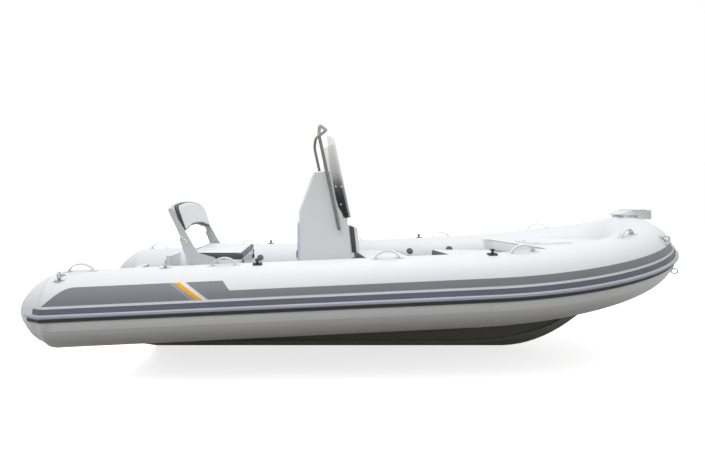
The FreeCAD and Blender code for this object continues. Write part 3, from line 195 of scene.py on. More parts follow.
def weave(nodes, links, vec, pitch):
    """Height of a plain weave, by three crossed sine waves."""
    sep = nodes.new("ShaderNodeSeparateXYZ")
    links.new(vec, sep.inputs["Vector"])
    total = None
    for axis in ("X", "Y", "Z"):
        wave = math_node(nodes, links, "SINE", math_node(nodes, links, "MULTIPLY", sep.outputs[axis],
                                                         2 * math.pi / pitch))
        total = wave if total is None else math_node(nodes, links, "ADD", total, wave)
    return total


WEAVE_PITCH, WEBBING_PITCH = 0.0022, 0.0035
# Painted shade: from where a face starts to turn down to where it faces straight down, the cloth darkens
# towards this tint
SHADE_START, SHADE_FULL = -0.45, -0.95
SHADE_TINT = (0.50, 0.485, 0.46)


def coated_fabric(name, colour, rough=0.42, vary=0.012, under_shade=0.0, shine=0.5):
    """Rubber-coated cloth: a faint weave under a smooth skin, soft ripples, and painted shade where it faces
    down, darker and browner in soft patches.
    """
    mat, nodes, links, bsdf = shader(name)
    vec = object_coords(nodes, links)
    base = drifting(nodes, links, vec, 2.5, colour, vary)
    # Painted shade on surfaces that face down, a little patchy
    if under_shade:
        sep = nodes.new("ShaderNodeSeparateXYZ")
        links.new(nodes.new("ShaderNodeTexCoord").outputs["Normal"], sep.inputs["Vector"])
        below = map_range(nodes, links, sep.outputs["Z"], SHADE_START, SHADE_FULL)
        patch = map_range(nodes, links, noise_node(nodes, links, vec, 7.0, 6.0), 0.35, 0.75, 0.7, 1.0)
        painted_shade = math_node(nodes, links, "MULTIPLY", math_node(nodes, links, "MULTIPLY", below, patch), under_shade)
        base = mix_colour(nodes, links, painted_shade, base, tuple(c * k for c, k in zip(colour, SHADE_TINT)))
    links.new(base, bsdf.inputs["Base Color"])
    bsdf.inputs["Specular IOR Level"].default_value = shine
    links.new(rough_drift(nodes, links, vec, 9.0, rough), bsdf.inputs["Roughness"])
    ripple = bump(nodes, links, noise_node(nodes, links, vec, 5.0, 2.0), 0.25, 0.004)
    cloth = bump(nodes, links, weave(nodes, links, vec, WEAVE_PITCH), 0.10, 0.0003, ripple)
    links.new(cloth, bsdf.inputs["Normal"])
    return mat


DARK_VINYL = srgb(72, 74, 79)
WHITE_VINYL = srgb(235, 236, 238)
VINYL_GRAIN_SCALE = 420.0


def vinyl(name, axis=None, level=0.0, edge=0.002):
    """Grained marine vinyl: white past a level along an axis, dark before it, and all dark with no axis."""
    mat, nodes, links, bsdf = shader(name)
    vec = object_coords(nodes, links)
    slow = noise_node(nodes, links, vec, 7.0)
    low, high = shades(DARK_VINYL, 0.07)
    colour = ramp(nodes, links, slow, [(0.3, low), (0.7, high)])
    if axis is not None:
        low = shades(WHITE_VINYL, 0.025)[0]
        high = shades(WHITE_VINYL, 0.02)[1]
        white = ramp(nodes, links, slow, [(0.3, low), (0.7, high)])
        dot = nodes.new("ShaderNodeVectorMath")
        dot.operation = "DOT_PRODUCT"
        dot.inputs[1].default_value = axis
        links.new(vec, dot.inputs[0])
        fac = map_range(nodes, links, dot.outputs["Value"], level - edge, level + edge)
        colour = mix_colour(nodes, links, fac, colour, white)
    links.new(colour, bsdf.inputs["Base Color"])
    links.new(rough_drift(nodes, links, vec, 30.0, 0.46), bsdf.inputs["Roughness"])
    bsdf.inputs["Sheen Weight"].default_value = 0.08
    cells = nodes.new("ShaderNodeTexVoronoi")
    cells.inputs["Scale"].default_value = VINYL_GRAIN_SCALE
    links.new(vec, cells.inputs["Vector"])
    grain = bump(nodes, links, cells.outputs["Distance"], 0.35, 0.0006)
    soft = bump(nodes, links, noise_node(nodes, links, vec, 14.0, 3.0), 0.35, 0.004, grain)
    links.new(soft, bsdf.inputs["Normal"])
    return mat


STUD_PITCH = 0.012


def grip_deck():
    """Moulded non-slip: a small diamond pattern with worn, slightly dirty tracks."""
    mat, nodes, links, bsdf = shader("deck_grip")
    vec = object_coords(nodes, links)
    base = drifting(nodes, links, vec, 4.0, srgb(186, 188, 190), 0.05, 6.0)
    spots = map_range(nodes, links, noise_node(nodes, links, vec, 60.0, 6.0), 0.55, 0.8, 0.0, 0.25)
    links.new(mix_colour(nodes, links, spots, base, srgb(120, 118, 112)), bsdf.inputs["Base Color"])
    links.new(rough_drift(nodes, links, vec, 30.0, 0.7), bsdf.inputs["Roughness"])
    turned = nodes.new("ShaderNodeMapping")
    turned.inputs["Rotation"].default_value = (0, 0, math.radians(45))
    links.new(vec, turned.inputs["Vector"])
    sep = nodes.new("ShaderNodeSeparateXYZ")
    links.new(turned.outputs["Vector"], sep.inputs["Vector"])
    waves = []
    for axis in ("X", "Y"):
        angle = math_node(nodes, links, "MULTIPLY", sep.outputs[axis], 2 * math.pi / STUD_PITCH)
        waves.append(math_node(nodes, links, "SINE", angle))
    studs = math_node(nodes, links, "MULTIPLY", waves[0], waves[1])
    links.new(bump(nodes, links, studs, 0.6, 0.0012), bsdf.inputs["Normal"])
    return mat


def hull_paint():
    """Satin paint over welded metal plate, with faint water marks and scuffs that run fore and aft."""
    mat, nodes, links, bsdf = shader("hull_paint")
    vec = object_coords(nodes, links)
    long = object_coords(nodes, links, (0.25, 1, 2.5))
    base = drifting(nodes, links, long, 5.0, srgb(106, 107, 98), 0.10, 8.0)
    scuffs = map_range(nodes, links, noise_node(nodes, links, long, 40.0, 8.0, 0.7), 0.64, 0.74, 0.0, 0.35)
    links.new(mix_colour(nodes, links, scuffs, base, srgb(120, 119, 112)), bsdf.inputs["Base Color"])
    links.new(rough_drift(nodes, links, vec, 22.0, 0.62, 0.1), bsdf.inputs["Roughness"])
    bsdf.inputs["Specular IOR Level"].default_value = 0.12
    links.new(bump(nodes, links, noise_node(nodes, links, vec, 3.0, 3.0), 0.25, 0.006), bsdf.inputs["Normal"])
    return mat


SCREEN_TINT = ((0.0, 0.86), (0.30, 0.64), (0.55, 0.24), (1.0, 0.12))


def smoked():
    """Tinted acrylic, dark at its foot and clear at its top."""
    mat, nodes, links, bsdf = shader("smoked_acrylic")
    bsdf.inputs["Base Color"].default_value = (*srgb(58, 60, 64), 1)
    bsdf.inputs["Specular IOR Level"].default_value = 0.2
    bsdf.inputs["IOR"].default_value = 1.2
    vec = object_coords(nodes, links)
    sep = nodes.new("ShaderNodeSeparateXYZ")
    links.new(vec, sep.inputs["Vector"])
    links.new(map_range(nodes, links, noise_node(nodes, links, vec, 50.0), 0.3, 0.7, 0.04, 0.08),
              bsdf.inputs["Roughness"])
    low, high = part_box("windscreen")
    share = map_range(nodes, links, sep.outputs["Z"], low[2], high[2])
    tint = ramp(nodes, links, share, [(place, (strength,) * 3) for place, strength in SCREEN_TINT])
    links.new(tint, bsdf.inputs["Alpha"])
    return mat


# After the colour come the roughness and the colour's spread, and in a plain finish also the scale of the drift
# and the strength, scale and depth of the grain
# The white tube cloth carries painted shade on its down-facing surfaces
FABRIC = coated_fabric("coated_fabric_white", srgb(232, 233, 237), under_shade=0.75)
TAPE = coated_fabric("seam_tape_white", srgb(240, 241, 243), 0.4)
PANEL = coated_fabric("panel_grey", srgb(126, 128, 136), 0.5, 0.03)
MIDGREY = coated_fabric("stripe_grey", srgb(158, 159, 161), 0.5, 0.03)
YELLOW = coated_fabric("stripe_yellow", srgb(255, 182, 2), 0.6, 0.02, shine=0.15)
BAND = coated_fabric("strake_band", srgb(102, 106, 118), 0.5, 0.04)
BEAD = finish("strake_bead", srgb(180, 184, 198), 0.42, 0.03, 5.0, 0.10, 900.0)
BLACK = finish("black_rubber", srgb(36, 37, 43), 0.6, 0.06, 8.0, 0.20, 900.0)
HULL = hull_paint()
DECK = grip_deck()
GEL = finish("gelcoat_grey", srgb(227, 229, 231), 0.34, 0.012, 2.0, 0.12, 260.0, 0.00015, coat=0.25)
WHITE_GEL = finish("gelcoat_white", srgb(234, 236, 240), 0.34, 0.01, 2.0, 0.12, 260.0, 0.00015, coat=0.25)
DOOR = finish("door_white", srgb(214, 221, 236), 0.34, 0.01, 2.0, 0.12, 260.0, 0.00015, coat=0.25)
FRAME = finish("painted_frame", srgb(200, 202, 204), 0.42, 0.02, 6.0, 0.10, 500.0, 0.0003)
NYLON = finish("black_nylon", srgb(32, 33, 36), 0.5, 0.08, 20.0, 0.2, 700.0)
TREAD = finish("tread_rubber", srgb(40, 41, 45), 0.75, 0.08, 20.0, 0.6, 500.0, 0.001)
VALVE = finish("valve_grey", srgb(84, 86, 91), 0.5, 0.05, 20.0, 0.1, 700.0)
STEEL = finish("polished_steel", (0.42, 0.43, 0.44), 0.22, 0.05, 30.0, 0.05, 300.0, metal=1.0)
BOLT_STEEL = finish("bolt_steel", (0.85, 0.85, 0.83), 0.35, 0.04, 30.0, 0.05, 300.0, metal=1.0)
RAIL_STEEL = finish("rail_steel", (0.20, 0.20, 0.185), 0.27, 0.08, 30.0, 0.05, 300.0, metal=1.0)
SMOKE = smoked()
DARK_PIPING = finish("dark_piping", srgb(64, 66, 70), 0.5, 0.05, 30.0, 0.2, 900.0)


def webbing():
    """Woven strap."""
    mat, nodes, links, bsdf = shader("white_webbing")
    vec = object_coords(nodes, links)
    links.new(drifting(nodes, links, vec, 30.0, srgb(228, 229, 231), 0.03), bsdf.inputs["Base Color"])
    links.new(rough_drift(nodes, links, vec, 60.0, 0.55), bsdf.inputs["Roughness"])
    threads = weave(nodes, links, vec, WEBBING_PITCH)
    links.new(bump(nodes, links, threads, 0.35, 0.0008), bsdf.inputs["Normal"])
    return mat


WEBBING = webbing()

PAINT = {
    "tube_starboard": FABRIC, "tube_port": FABRIC, "tube_bow": FABRIC,
    # strake_lower is painted black where the bead's shadow falls: a dark strip standing for painted shadow
    "strake_band": BAND, "strake_bead": BEAD, "strake_lower": BLACK,
    "side_panel_starboard": PANEL, "side_panel_port": PANEL,
    "stripes_grey": MIDGREY, "stripes_yellow": YELLOW,
    "hull_shell": HULL, "cockpit_deck": DECK, "bow_deck": WHITE_GEL, "anchor_hatch": WHITE_GEL,
    "transom": WHITE_GEL, "motor_pad": BLACK, "helm_seat_box": GEL, "helm_seat_lid": GEL,
    "backrest_frame": FRAME, "backrest_pivots": STEEL,
    "console": GEL, "console_door": DOOR, "windscreen": SMOKE, "handrail": RAIL_STEEL,
    "console_backrest_board": GEL, "front_seat_box": GEL, "front_seat_lid": GEL,
    "bow_seat_box": GEL, "bow_seat_lid": GEL, "seat_latches": BLACK,
    "bow_plate": GEL, "bow_plate_pad": TREAD, "grab_handles": WEBBING, "cleats": NYLON,
    "valves": VALVE, "lifting_rings": STEEL,
}
for name, mat in PAINT.items():
    mesh = N[name].data
    mesh.materials.clear()
    mesh.materials.append(mat)


# Mesh helpers
def add_mesh(name, bm, body, mat, smooth=True):
    mesh = bpy.data.meshes.new(name)
    bmesh.ops.recalc_face_normals(bm, faces=bm.faces)
    bm.to_mesh(mesh)
    bm.free()
    mesh.materials.append(mat)
    for poly in mesh.polygons:
        poly.use_smooth = smooth
    obj = bpy.data.objects.new(name, mesh)
    scene.collection.objects.link(obj)
    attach(obj, body)
    return obj


def tree(*names):
    """A search tree of surfaces, each given as a CAD node's name or as an object."""
    verts = []
    faces = []
    for name in names:
        obj = N[name] if isinstance(name, str) else name
        start = len(verts)
        verts += [obj.matrix_world @ v.co for v in obj.data.vertices]
        faces += [[start + i for i in poly.vertices] for poly in obj.data.polygons]
    return BVHTree.FromPolygons(verts, faces)


def loft(bm, rings, closed_path=False):
    """Faces between closed rings of vertices, each given as a list of points."""
    made = [[bm.verts.new(p) for p in ring] for ring in rings]
    count = len(made[0])
    steps = len(made) if closed_path else len(made) - 1
    for i in range(steps):
        a = made[i]
        b = made[(i + 1) % len(made)]
        for j in range(count):
            k = (j + 1) % count
            bm.faces.new((a[j], a[k], b[k], b[j]))
    return made


def tube_along(name, path, radius, body, mat, closed=False, sides=10):
    """A round bar along points, turned as little as it can be on the way."""
    bm = bmesh.new()
    rings = []
    count = len(path)
    side = None
    for i, p in enumerate(path):
        before = path[i - 1] if closed or i else path[0]
        after = path[(i + 1) % count] if closed or i < count - 1 else path[-1]
        along = (after - before).normalized()
        if side is None:
            side = along.orthogonal()
        side = (side - along * side.dot(along)).normalized()
        other = along.cross(side)
        turns = [2 * math.pi * j / sides for j in range(sides)]
        rings.append([p + radius * (side * math.cos(turn) + other * math.sin(turn)) for turn in turns])
    made = loft(bm, rings, closed)
    if not closed:
        bm.faces.new(made[0])
        bm.faces.new(list(reversed(made[-1])))
    return add_mesh(name, bm, body, mat)


DOME_PROFILE = ((1.0, -0.6), (1.0, 0.25), (0.86, 0.7), (0.5, 0.95))


def domes(name, places, head, body, mat, sides=16):
    """Domed bolt heads of one radius and height, each at a place with the way it faces."""
    radius, height = head
    bm = bmesh.new()
    for place, facing in places:
        turn = Vector(facing).to_track_quat("Z", "Y")
        rings = []
        for out, up in DOME_PROFILE:
            ring = []
            for k in range(sides):
                angle = 2 * math.pi * k / sides
                point = Vector((radius * out * math.cos(angle), radius * out * math.sin(angle), height * up))
                ring.append(place + turn @ point)
            rings.append(ring)
        made = loft(bm, rings)
        bm.faces.new(made[0])
        bm.faces.new(list(reversed(made[-1])))
    return add_mesh(name, bm, body, mat)


def rounded_bar(name, low, high, radius, body, mat):
    """A bar between two corners with rounded edges."""
    bm = bmesh.new()
    bmesh.ops.create_cube(bm, size=1.0)
    low = Vector(low)
    high = Vector(high)
    for v in bm.verts:
        v.co = Vector([low[i] + (v.co[i] + 0.5) * (high[i] - low[i]) for i in range(3)])
    bmesh.ops.bevel(bm, geom=list(bm.edges), offset=radius, segments=3, profile=0.6, affect="EDGES")
    return add_mesh(name, bm, body, mat)


def reach(node, axis):
    """How far a node's surface goes along an axis, low and high."""
    values = [v.co.dot(Vector(axis)) for v in N[node].data.vertices]
    return min(values), max(values)


# Cushions
CLOTH_STEPS = 20
PRESSURE = 4.0


def applied(obj):
    """A copy of an object's mesh with its modifiers applied."""
    return bpy.data.meshes.new_from_object(obj.evaluated_get(bpy.context.evaluated_depsgraph_get()))


def soft_pad(name, node, facing, mat, voxel=0.008, inset=0.003, cap=0.006):
    """A cushion blown up from the CAD pad, flat where it rests. No point moves further than the cap."""
    facing = Vector(facing).normalized()
    rest = reach(node, facing)[0]
    bm = bmesh.new()
    bm.from_mesh(N[node].data)
    bmesh.ops.remove_doubles(bm, verts=bm.verts, dist=0.0001)
    low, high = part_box(node)
    middle = (Vector(low) + Vector(high)) / 2
    for v in bm.verts:
        for i in range(3):
            half = (high[i] - low[i]) / 2
            v.co[i] = middle[i] + (v.co[i] - middle[i]) * (1 - inset / half)
    mesh = bpy.data.meshes.new(name)
    bm.to_mesh(mesh)
    bm.free()
    obj = bpy.data.objects.new(name, mesh)
    scene.collection.objects.link(obj)
    remesh = obj.modifiers.new("remesh", "REMESH")
    remesh.mode = "VOXEL"
    remesh.voxel_size = voxel
    obj.data = applied(obj)
    obj.modifiers.clear()
    before = [v.co.copy() for v in obj.data.vertices]
    held_below = rest + inset + 0.4 * voxel
    held = obj.vertex_groups.new(name="held")
    held.add([v.index for v in obj.data.vertices if v.co.dot(facing) < held_below], 1.0, "REPLACE")
    cloth = obj.modifiers.new("cloth", "CLOTH")
    cloth.settings.quality = 5
    cloth.settings.mass = 0.3
    cloth.settings.vertex_group_mass = "held"
    cloth.settings.use_pressure = True
    cloth.settings.uniform_pressure_force = PRESSURE
    cloth.settings.effector_weights.gravity = 0.0
    cloth.point_cache.frame_start = 1
    cloth.point_cache.frame_end = CLOTH_STEPS
    for step in range(1, CLOTH_STEPS + 1):
        scene.frame_set(step)
    swollen = applied(obj)
    for v, start in zip(swollen.vertices, before):
        move = v.co - start
        if move.length > cap:
            v.co = start + move.normalized() * cap
    obj.modifiers.clear()
    obj.vertex_groups.clear()
    obj.data = swollen
    scene.frame_set(1)
    smooth = obj.modifiers.new("smooth", "SMOOTH")
    smooth.factor = 0.5
    smooth.iterations = 1
    subdivide = obj.modifiers.new("subdivide", "SUBSURF")
    subdivide.levels = subdivide.render_levels = 1
    final = applied(obj)
    obj.modifiers.clear()
    obj.data = final
    obj.data.name = name
    obj.data.materials.clear()
    obj.data.materials.append(mat)
    for poly in obj.data.polygons:
        poly.use_smooth = True
    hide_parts(node)
    return obj


PIPING_PROUD, PAD_MARGIN = 0.3, 0.1


def piping(name, pad, facing, level, body, mat, radius=0.0035, count=160):
    """Piping round a pad where its side meets its face, laid on the pad's own surface."""
    facing = Vector(facing).normalized()
    surface = tree(pad)
    points = [v.co for v in pad.data.vertices]
    across = Vector((0, 1, 0))
    up = facing.cross(across).normalized()
    spans = [(min(p.dot(a) for p in points), max(p.dot(a) for p in points)) for a in (across, up)]
    middle = sum(((s[0] + s[1]) / 2 * a for s, a in zip(spans, (across, up))), Vector()) + facing * level
    halves = [(s[1] - s[0]) / 2 + PAD_MARGIN for s in spans]
    # Rays from well outside, four for each point that the piping keeps
    loop = []
    for k in range(4 * count):
        angle = 2 * math.pi * k / (4 * count)
        way = across * halves[0] * math.cos(angle) + up * halves[1] * math.sin(angle)
        start = middle + way * 1.5
        hit = surface.ray_cast(start, -way.normalized())[0]
        if hit is not None:
            loop.append(hit + way.normalized() * radius * PIPING_PROUD)
    # Points at even steps along that loop, then smoothed twice
    lengths = [0.0]
    for a, b in zip(loop, loop[1:] + loop[:1]):
        lengths.append(lengths[-1] + (b - a).length)
    even = []
    j = 0
    for k in range(count):
        want = lengths[-1] * k / count
        while lengths[j + 1] < want:
            j += 1
        share = (want - lengths[j]) / max(lengths[j + 1] - lengths[j], 1e-9)
        even.append(loop[j].lerp(loop[(j + 1) % len(loop)], share))
    for smoothing in range(2):
        even = [(even[k - 1] + even[k] * 2 + even[(k + 1) % count]) / 4 for k in range(count)]
    return tube_along(name, even, radius, body, mat, closed=True, sides=8)


UP = (0, 0, 1)
BACK_LEAN = math.radians(19.2)
BACK_FACE = (math.cos(BACK_LEAN), 0, math.sin(BACK_LEAN))
REAR_FACE = (-math.cos(BACK_LEAN), 0, -math.sin(BACK_LEAN))
PAD_LEAN = math.radians(6.1)
PAD_FACE = (math.cos(PAD_LEAN), 0, math.sin(PAD_LEAN))
# How far under the face the white cover ends, where the piping runs
SEAM_DROP, WIDE_COVER_DROP = 0.006, 0.030
# Piece, the CAD node it stands for, the way it faces, its body, whether its face is white, and that drop
PADS = [
    ("helm_seat_pad", "helm_seat_cushion", UP, "helm_lid", True, SEAM_DROP),
    ("backrest_pad", "backrest_cushion", BACK_FACE, "backrest", True, SEAM_DROP),
    ("backrest_rear_soft", "backrest_rear_pad", REAR_FACE, "backrest", False, SEAM_DROP),
    ("console_pad", "console_backrest_cushion", PAD_FACE, "boat", True, WIDE_COVER_DROP),
    ("front_seat_pad", "front_seat_cushion", UP, "front_lid", True, SEAM_DROP),
    ("bow_seat_pad", "bow_seat_cushion", UP, "bow_lid", True, SEAM_DROP),
]
for pad_name, node, facing, body, two_tone, drop in PADS:
    level = reach(node, facing)[1] - drop
    cover = vinyl(pad_name + "_vinyl", facing if two_tone else None, level)
    pad = soft_pad(pad_name, node, facing, cover)
    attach(pad, body)
    piping(pad_name + "_piping", pad, facing, level, body, DARK_PIPING)

# Tube axis, as the CAD has it, in metres: straight, then a quarter ellipse that rises to the bow
BEND_START, BOW_AXIS, OFFSET = 0.590, 2.191, 0.836
AXIS_HEIGHT, SHEER, BOW_RISE = 0.383, 0.045, 0.190
CONE_END = -2.173
# Heights over the axis of the strake's lower edge and of the tape's
STRAKE_FOOT, TAPE_FOOT = -0.0365, -0.101
TAPE_LIFT, SEAM_LIFT, SUNK = 0.0014, 0.0012, 0.002
# How far out from the axis the rays for tapes and hoops start
TAPE_START, HOOP_START = 0.6, 0.5
Z_WAY = Vector((0, 0, 1))
TUBES = tree("tube_starboard", "tube_port", "tube_bow")


def bend_point(angle):
    """A point of the axis in plan, and the way outboard there."""
    reach_out = BOW_AXIS - BEND_START
    place = Vector((BEND_START + reach_out * math.sin(angle), -OFFSET * math.cos(angle), 0))
    out = Vector((OFFSET * math.sin(angle), -reach_out * math.cos(angle), 0)).normalized()
    return place, out


def arc_length(angle, steps=60):
    """Length of the axis from the start of the bend to an angle of up to 90 degrees."""
    total = 0.0
    last = bend_point(0)[0]
    for k in range(1, steps + 1):
        here = bend_point(angle * k / steps)[0]
        total += (here - last).length
        last = here
    return total


BEND_LENGTH = arc_length(math.pi / 2)


def bend_station(degrees):
    """A point of the axis on the bend, and the way outboard there."""
    place, out = bend_point(math.radians(degrees))
    run = arc_length(math.radians(min(degrees, 180 - degrees)))
    height = AXIS_HEIGHT + SHEER * (BEND_START + run) + BOW_RISE * (run / BEND_LENGTH) ** 2
    return Vector((place.x, place.y, height)), out


def side_station(x, side):
    """A point of the straight axis to one side, and the way outboard there."""
    return Vector((x, side * OFFSET, AXIS_HEIGHT + SHEER * x)), Vector((0, side, 0))


def course(step=3.0):
    """Stations from the starboard cone round the bow to the port cone."""
    count = 20
    xs = [CONE_END + (BEND_START - CONE_END) * k / count for k in range(count + 1)]
    found = [side_station(x, -1) for x in xs]
    found += [bend_station(step * k) for k in range(1, int(180 / step))]
    found += [side_station(x, 1) for x in reversed(xs)]
    return found


def tape(name, low, high, lift, mat):
    """A flat tape along the tubes between two heights over the axis."""
    section = [(0, -SUNK)] + [(share, lift) for share in (0, 0.03, 0.5, 0.97, 1)] + [(1, -SUNK)]
    bm = bmesh.new()
    rings = []
    for centre, out in course():
        ring = []
        for share, rise in section:
            height = low + (high - low) * share
            start = centre + out * TAPE_START + Z_WAY * height
            hit = TUBES.ray_cast(start, -out)[0]
            ring.append(hit + out * rise)
        rings.append(ring)
    made = loft(bm, rings)
    bm.faces.new(made[0])
    bm.faces.new(list(reversed(made[-1])))
    return add_mesh(name, bm, "boat", mat)


def hoop(name, station, width, lift, mat, sides=72):
    """A seam tape round the tube's girth."""
    centre, out = station
    along = Z_WAY.cross(out)
    bm = bmesh.new()
    rings = []
    for k in range(sides):
        angle = 2 * math.pi * k / sides
        way = out * math.cos(angle) + Z_WAY * math.sin(angle)
        ring = []
        for place, rise in ((-0.5, -SUNK), (-0.5, lift), (0.5, lift), (0.5, -SUNK)):
            start = centre + way * HOOP_START + along * width * place
            hit = TUBES.ray_cast(start, -way)[0]
            ring.append(hit + way * rise)
        rings.append(ring)
    loft(bm, rings, True)
    return add_mesh(name, bm, "boat", mat, smooth=False)


CONE_SEAM, BEND_SEAM, BOW_SEAM = 0.028, 0.030, 0.036
tape("lower_tape", TAPE_FOOT, STRAKE_FOOT, TAPE_LIFT, TAPE)
for side, side_name in ((-1, "starboard"), (1, "port")):
    hoop("cone_seam_" + side_name, side_station(CONE_END + CONE_SEAM / 2, side), CONE_SEAM, SEAM_LIFT, FABRIC)
    hoop("bend_seam_" + side_name, side_station(BEND_START, side), BEND_SEAM, SEAM_LIFT, FABRIC)
hoop("bow_seam", bend_station(90), BOW_SEAM, SEAM_LIFT, FABRIC)


# The rings' patches are of the tubes' cloth: faces that lie close on a tube
PATCH_REACH = 0.0045
rings = N["lifting_rings"].data
rings.materials.append(FABRIC)
for poly in rings.polygons:
    distance = TUBES.find_nearest(poly.center)[3]
    if distance < PATCH_REACH:
        poly.material_index = 1


# Small fastenings, found on the CAD surfaces. A head is a radius and a height
OUTBOARD, OVER_DECK = 0.8, 1.0
ELBOW_HEAD, SCREEN_HEAD, KNOB_HEAD = (0.006, 0.004), (0.008, 0.005), (0.013, 0.010)
PIVOT_HEAD, HATCH_HEAD = (0.011, 0.007), (0.019, 0.004)


def struck(search, starts, facing):
    """The surface points met from the starts, each with the way it faces."""
    way = Vector([-c if c else 0.0 for c in facing])
    hits = [search.ray_cast(Vector(start), way)[0] for start in starts]
    return [(hit, facing) for hit in hits if hit is not None]


def both_sides(node, places):
    """The points met on a node from outboard at both sides, for places given by length and height."""
    search = tree(node)
    found = []
    for side in (-1, 1):
        found += struck(search, [(x, side * OUTBOARD, z) for x, z in places], (0, side, 0))
    return found


ELBOW = (-1.438, 0.725)
ELBOW_PITCH = 0.0235
ELBOW_STEP = ELBOW_PITCH * math.sqrt(0.5)
ELBOW_BOLTS = [(ELBOW[0] + k * ELBOW_STEP, ELBOW[1] - k * ELBOW_STEP) for k in (-1, 0, 1)]
SCREEN_BOLTS = [(-0.301, 1.126), (-0.257, 1.124), (-0.263, 0.987)]
SCREEN_KNOB = (-0.216, 0.921)
domes("elbow_bolts", both_sides("backrest_frame", ELBOW_BOLTS), ELBOW_HEAD, "backrest", BOLT_STEEL)
domes("screen_bolts", both_sides("windscreen", SCREEN_BOLTS), SCREEN_HEAD, "boat", STEEL)
domes("screen_knobs", both_sides("windscreen", [SCREEN_KNOB]), KNOB_HEAD, "boat", NYLON)
pivot_low, pivot_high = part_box("backrest_pivots")
pivot = ((pivot_low[0] + pivot_high[0]) / 2, (pivot_low[2] + pivot_high[2]) / 2)
domes("pivot_heads", both_sides("backrest_frame", [pivot]), PIVOT_HEAD, "backrest", STEEL)

# Door latch and hatch latches
door_low, door_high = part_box("console_door")
PLATE_HALF, PLATE_TALL, PLATE_PROUD, PLATE_SUNK, PLATE_ROUND = 0.017, 0.080, 0.004, 0.001, 0.0018
LEVER_HALF, LEVER_DOWN, LEVER_UP = PLATE_HALF * 0.45, PLATE_TALL * 0.36, PLATE_TALL * 0.30
LEVER_PROUD, LEVER_FOOT, LEVER_ROUND = 0.009, 0.003, 0.004
PLATE_FROM_EDGE, PLATE_OVER_MIDDLE = 0.045, 0.06
latch_x = door_low[0]
latch_y = door_low[1] + PLATE_FROM_EDGE
latch_z = (door_low[2] + door_high[2]) / 2 + PLATE_OVER_MIDDLE
rounded_bar("door_latch_plate", (latch_x - PLATE_PROUD, latch_y - PLATE_HALF, latch_z - PLATE_TALL / 2),
            (latch_x + PLATE_SUNK, latch_y + PLATE_HALF, latch_z + PLATE_TALL / 2),
            PLATE_ROUND, "door", NYLON)
rounded_bar("door_latch_lever", (latch_x - LEVER_PROUD, latch_y - LEVER_HALF, latch_z - LEVER_DOWN),
            (latch_x - LEVER_FOOT, latch_y + LEVER_HALF, latch_z + LEVER_UP),
            LEVER_ROUND, "door", NYLON)
hatch_low, hatch_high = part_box("anchor_hatch")
LATCH_INSET, LATCH_SIDE_INSET = 0.045, 0.08
latch_starts = [(hatch_low[0] + LATCH_INSET, y, OVER_DECK)
                for y in (hatch_low[1] + LATCH_SIDE_INSET, hatch_high[1] - LATCH_SIDE_INSET)]
domes("hatch_latches", struck(tree("anchor_hatch"), latch_starts, UP), HATCH_HEAD, "hatch", STEEL, 24)

# Dark strip along the aft edge of the bow deck, a painted shadow line standing where the edge casts shade, laid
# where the rays from above meet the deck's own top
deck_low, deck_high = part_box("bow_deck")
STRIP_HALF, STRIP_STEPS, STRIP_INSET, STRIP_RADIUS = 0.52, 40, 0.006, 0.0035
DECK_RISE = 0.12
strip_starts = [(deck_low[0] + STRIP_INSET, -STRIP_HALF + 2 * STRIP_HALF * k / STRIP_STEPS, OVER_DECK)
                for k in range(STRIP_STEPS + 1)]
strip_hits = struck(tree("bow_deck"), strip_starts, UP)
edge_path = [hit for hit, facing in strip_hits if hit.z > deck_high[2] - DECK_RISE]
tube_along("deck_edge_shade_strip", edge_path, STRIP_RADIUS, "boat", NYLON)

# Floor, light and white surroundings
FLOOR_HALF, UNDER_KEEL = 40, 0.004
floor_mesh = bpy.data.meshes.new("floor")
bm = bmesh.new()
bmesh.ops.create_grid(bm, x_segments=2, y_segments=2, size=FLOOR_HALF)
bm.to_mesh(floor_mesh)
bm.free()
floor = bpy.data.objects.new("floor", floor_mesh)
floor.location = (0, 0, CAD_BOX[0][2] - UNDER_KEEL)
scene.collection.objects.link(floor)


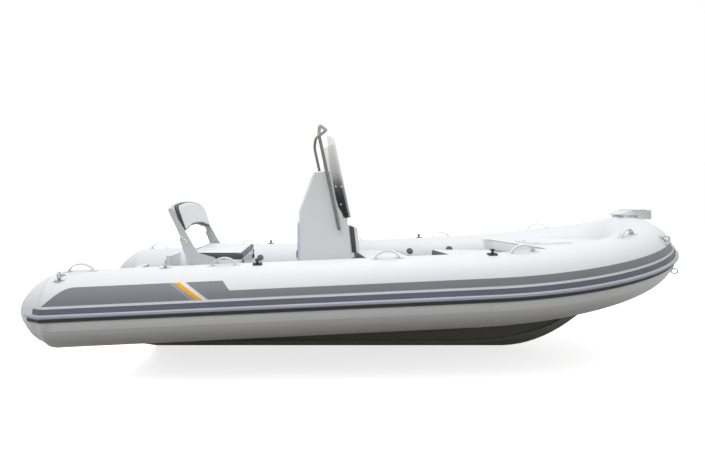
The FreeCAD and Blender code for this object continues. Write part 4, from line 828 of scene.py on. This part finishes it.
def seen(nodes, links):
    """One where the ray came from the camera, a mirror or glass, and nought for scattered light."""
    path = nodes.new("ShaderNodeLightPath")
    first = math_node(nodes, links, "MAXIMUM", path.outputs["Is Camera Ray"], path.outputs["Is Glossy Ray"])
    return math_node(nodes, links, "MAXIMUM", first, path.outputs["Is Transmission Ray"])


# The floor looks white, and the boat is lit by a much darker one
FLOOR_BOUNCE, FLOOR_SEEN = (0.15, 0.14, 0.122), (0.9, 0.9, 0.9)
MIRROR_GLOW, CAMERA_GLOW = 0.15, 0.6
floor_mat, nodes, links, bsdf = shader("floor_white")
shown = seen(nodes, links)
links.new(mix_colour(nodes, links, shown, FLOOR_BOUNCE, FLOOR_SEEN), bsdf.inputs["Base Color"])
bsdf.inputs["Roughness"].default_value = 0.9
bsdf.inputs["Specular IOR Level"].default_value = 0.0
bsdf.inputs["Emission Color"].default_value = (1, 1, 1, 1)
direct = nodes.new("ShaderNodeLightPath").outputs["Is Camera Ray"]
glow = math_node(nodes, links, "ADD", math_node(nodes, links, "MULTIPLY", shown, MIRROR_GLOW),
                 math_node(nodes, links, "MULTIPLY", direct, CAMERA_GLOW))
links.new(glow, bsdf.inputs["Emission Strength"])
floor_mesh.materials.append(floor_mat)

world = bpy.data.worlds.new("studio")
scene.world = world
world.use_nodes = True
nodes = world.node_tree.nodes
links = world.node_tree.links
SKY_LIGHT = 0.64
sky = nodes["Background"]
sky.inputs["Color"].default_value = (1, 1, 1, 1)
links.new(map_range(nodes, links, seen(nodes, links), 0, 1, SKY_LIGHT, 1.0), sky.inputs["Strength"])


def lamp(name, place, aim, size, power):
    data = bpy.data.lights.new(name, "AREA")
    data.shape = "RECTANGLE"
    data.size = size[0]
    data.size_y = size[1]
    data.energy = power
    obj = bpy.data.objects.new(name, data)
    obj.location = place
    obj.rotation_euler = (Vector(aim) - Vector(place)).to_track_quat("-Z", "Y").to_euler()
    scene.collection.objects.link(obj)


AIM = (0, 0, 0.4)
lamp("key", (-2.5, -4.5, 6.5), AIM, (5, 4), 185)
lamp("top", (0.8, 0.8, 7.0), AIM, (7, 5), 150)
scene.view_settings.view_transform = "Standard"
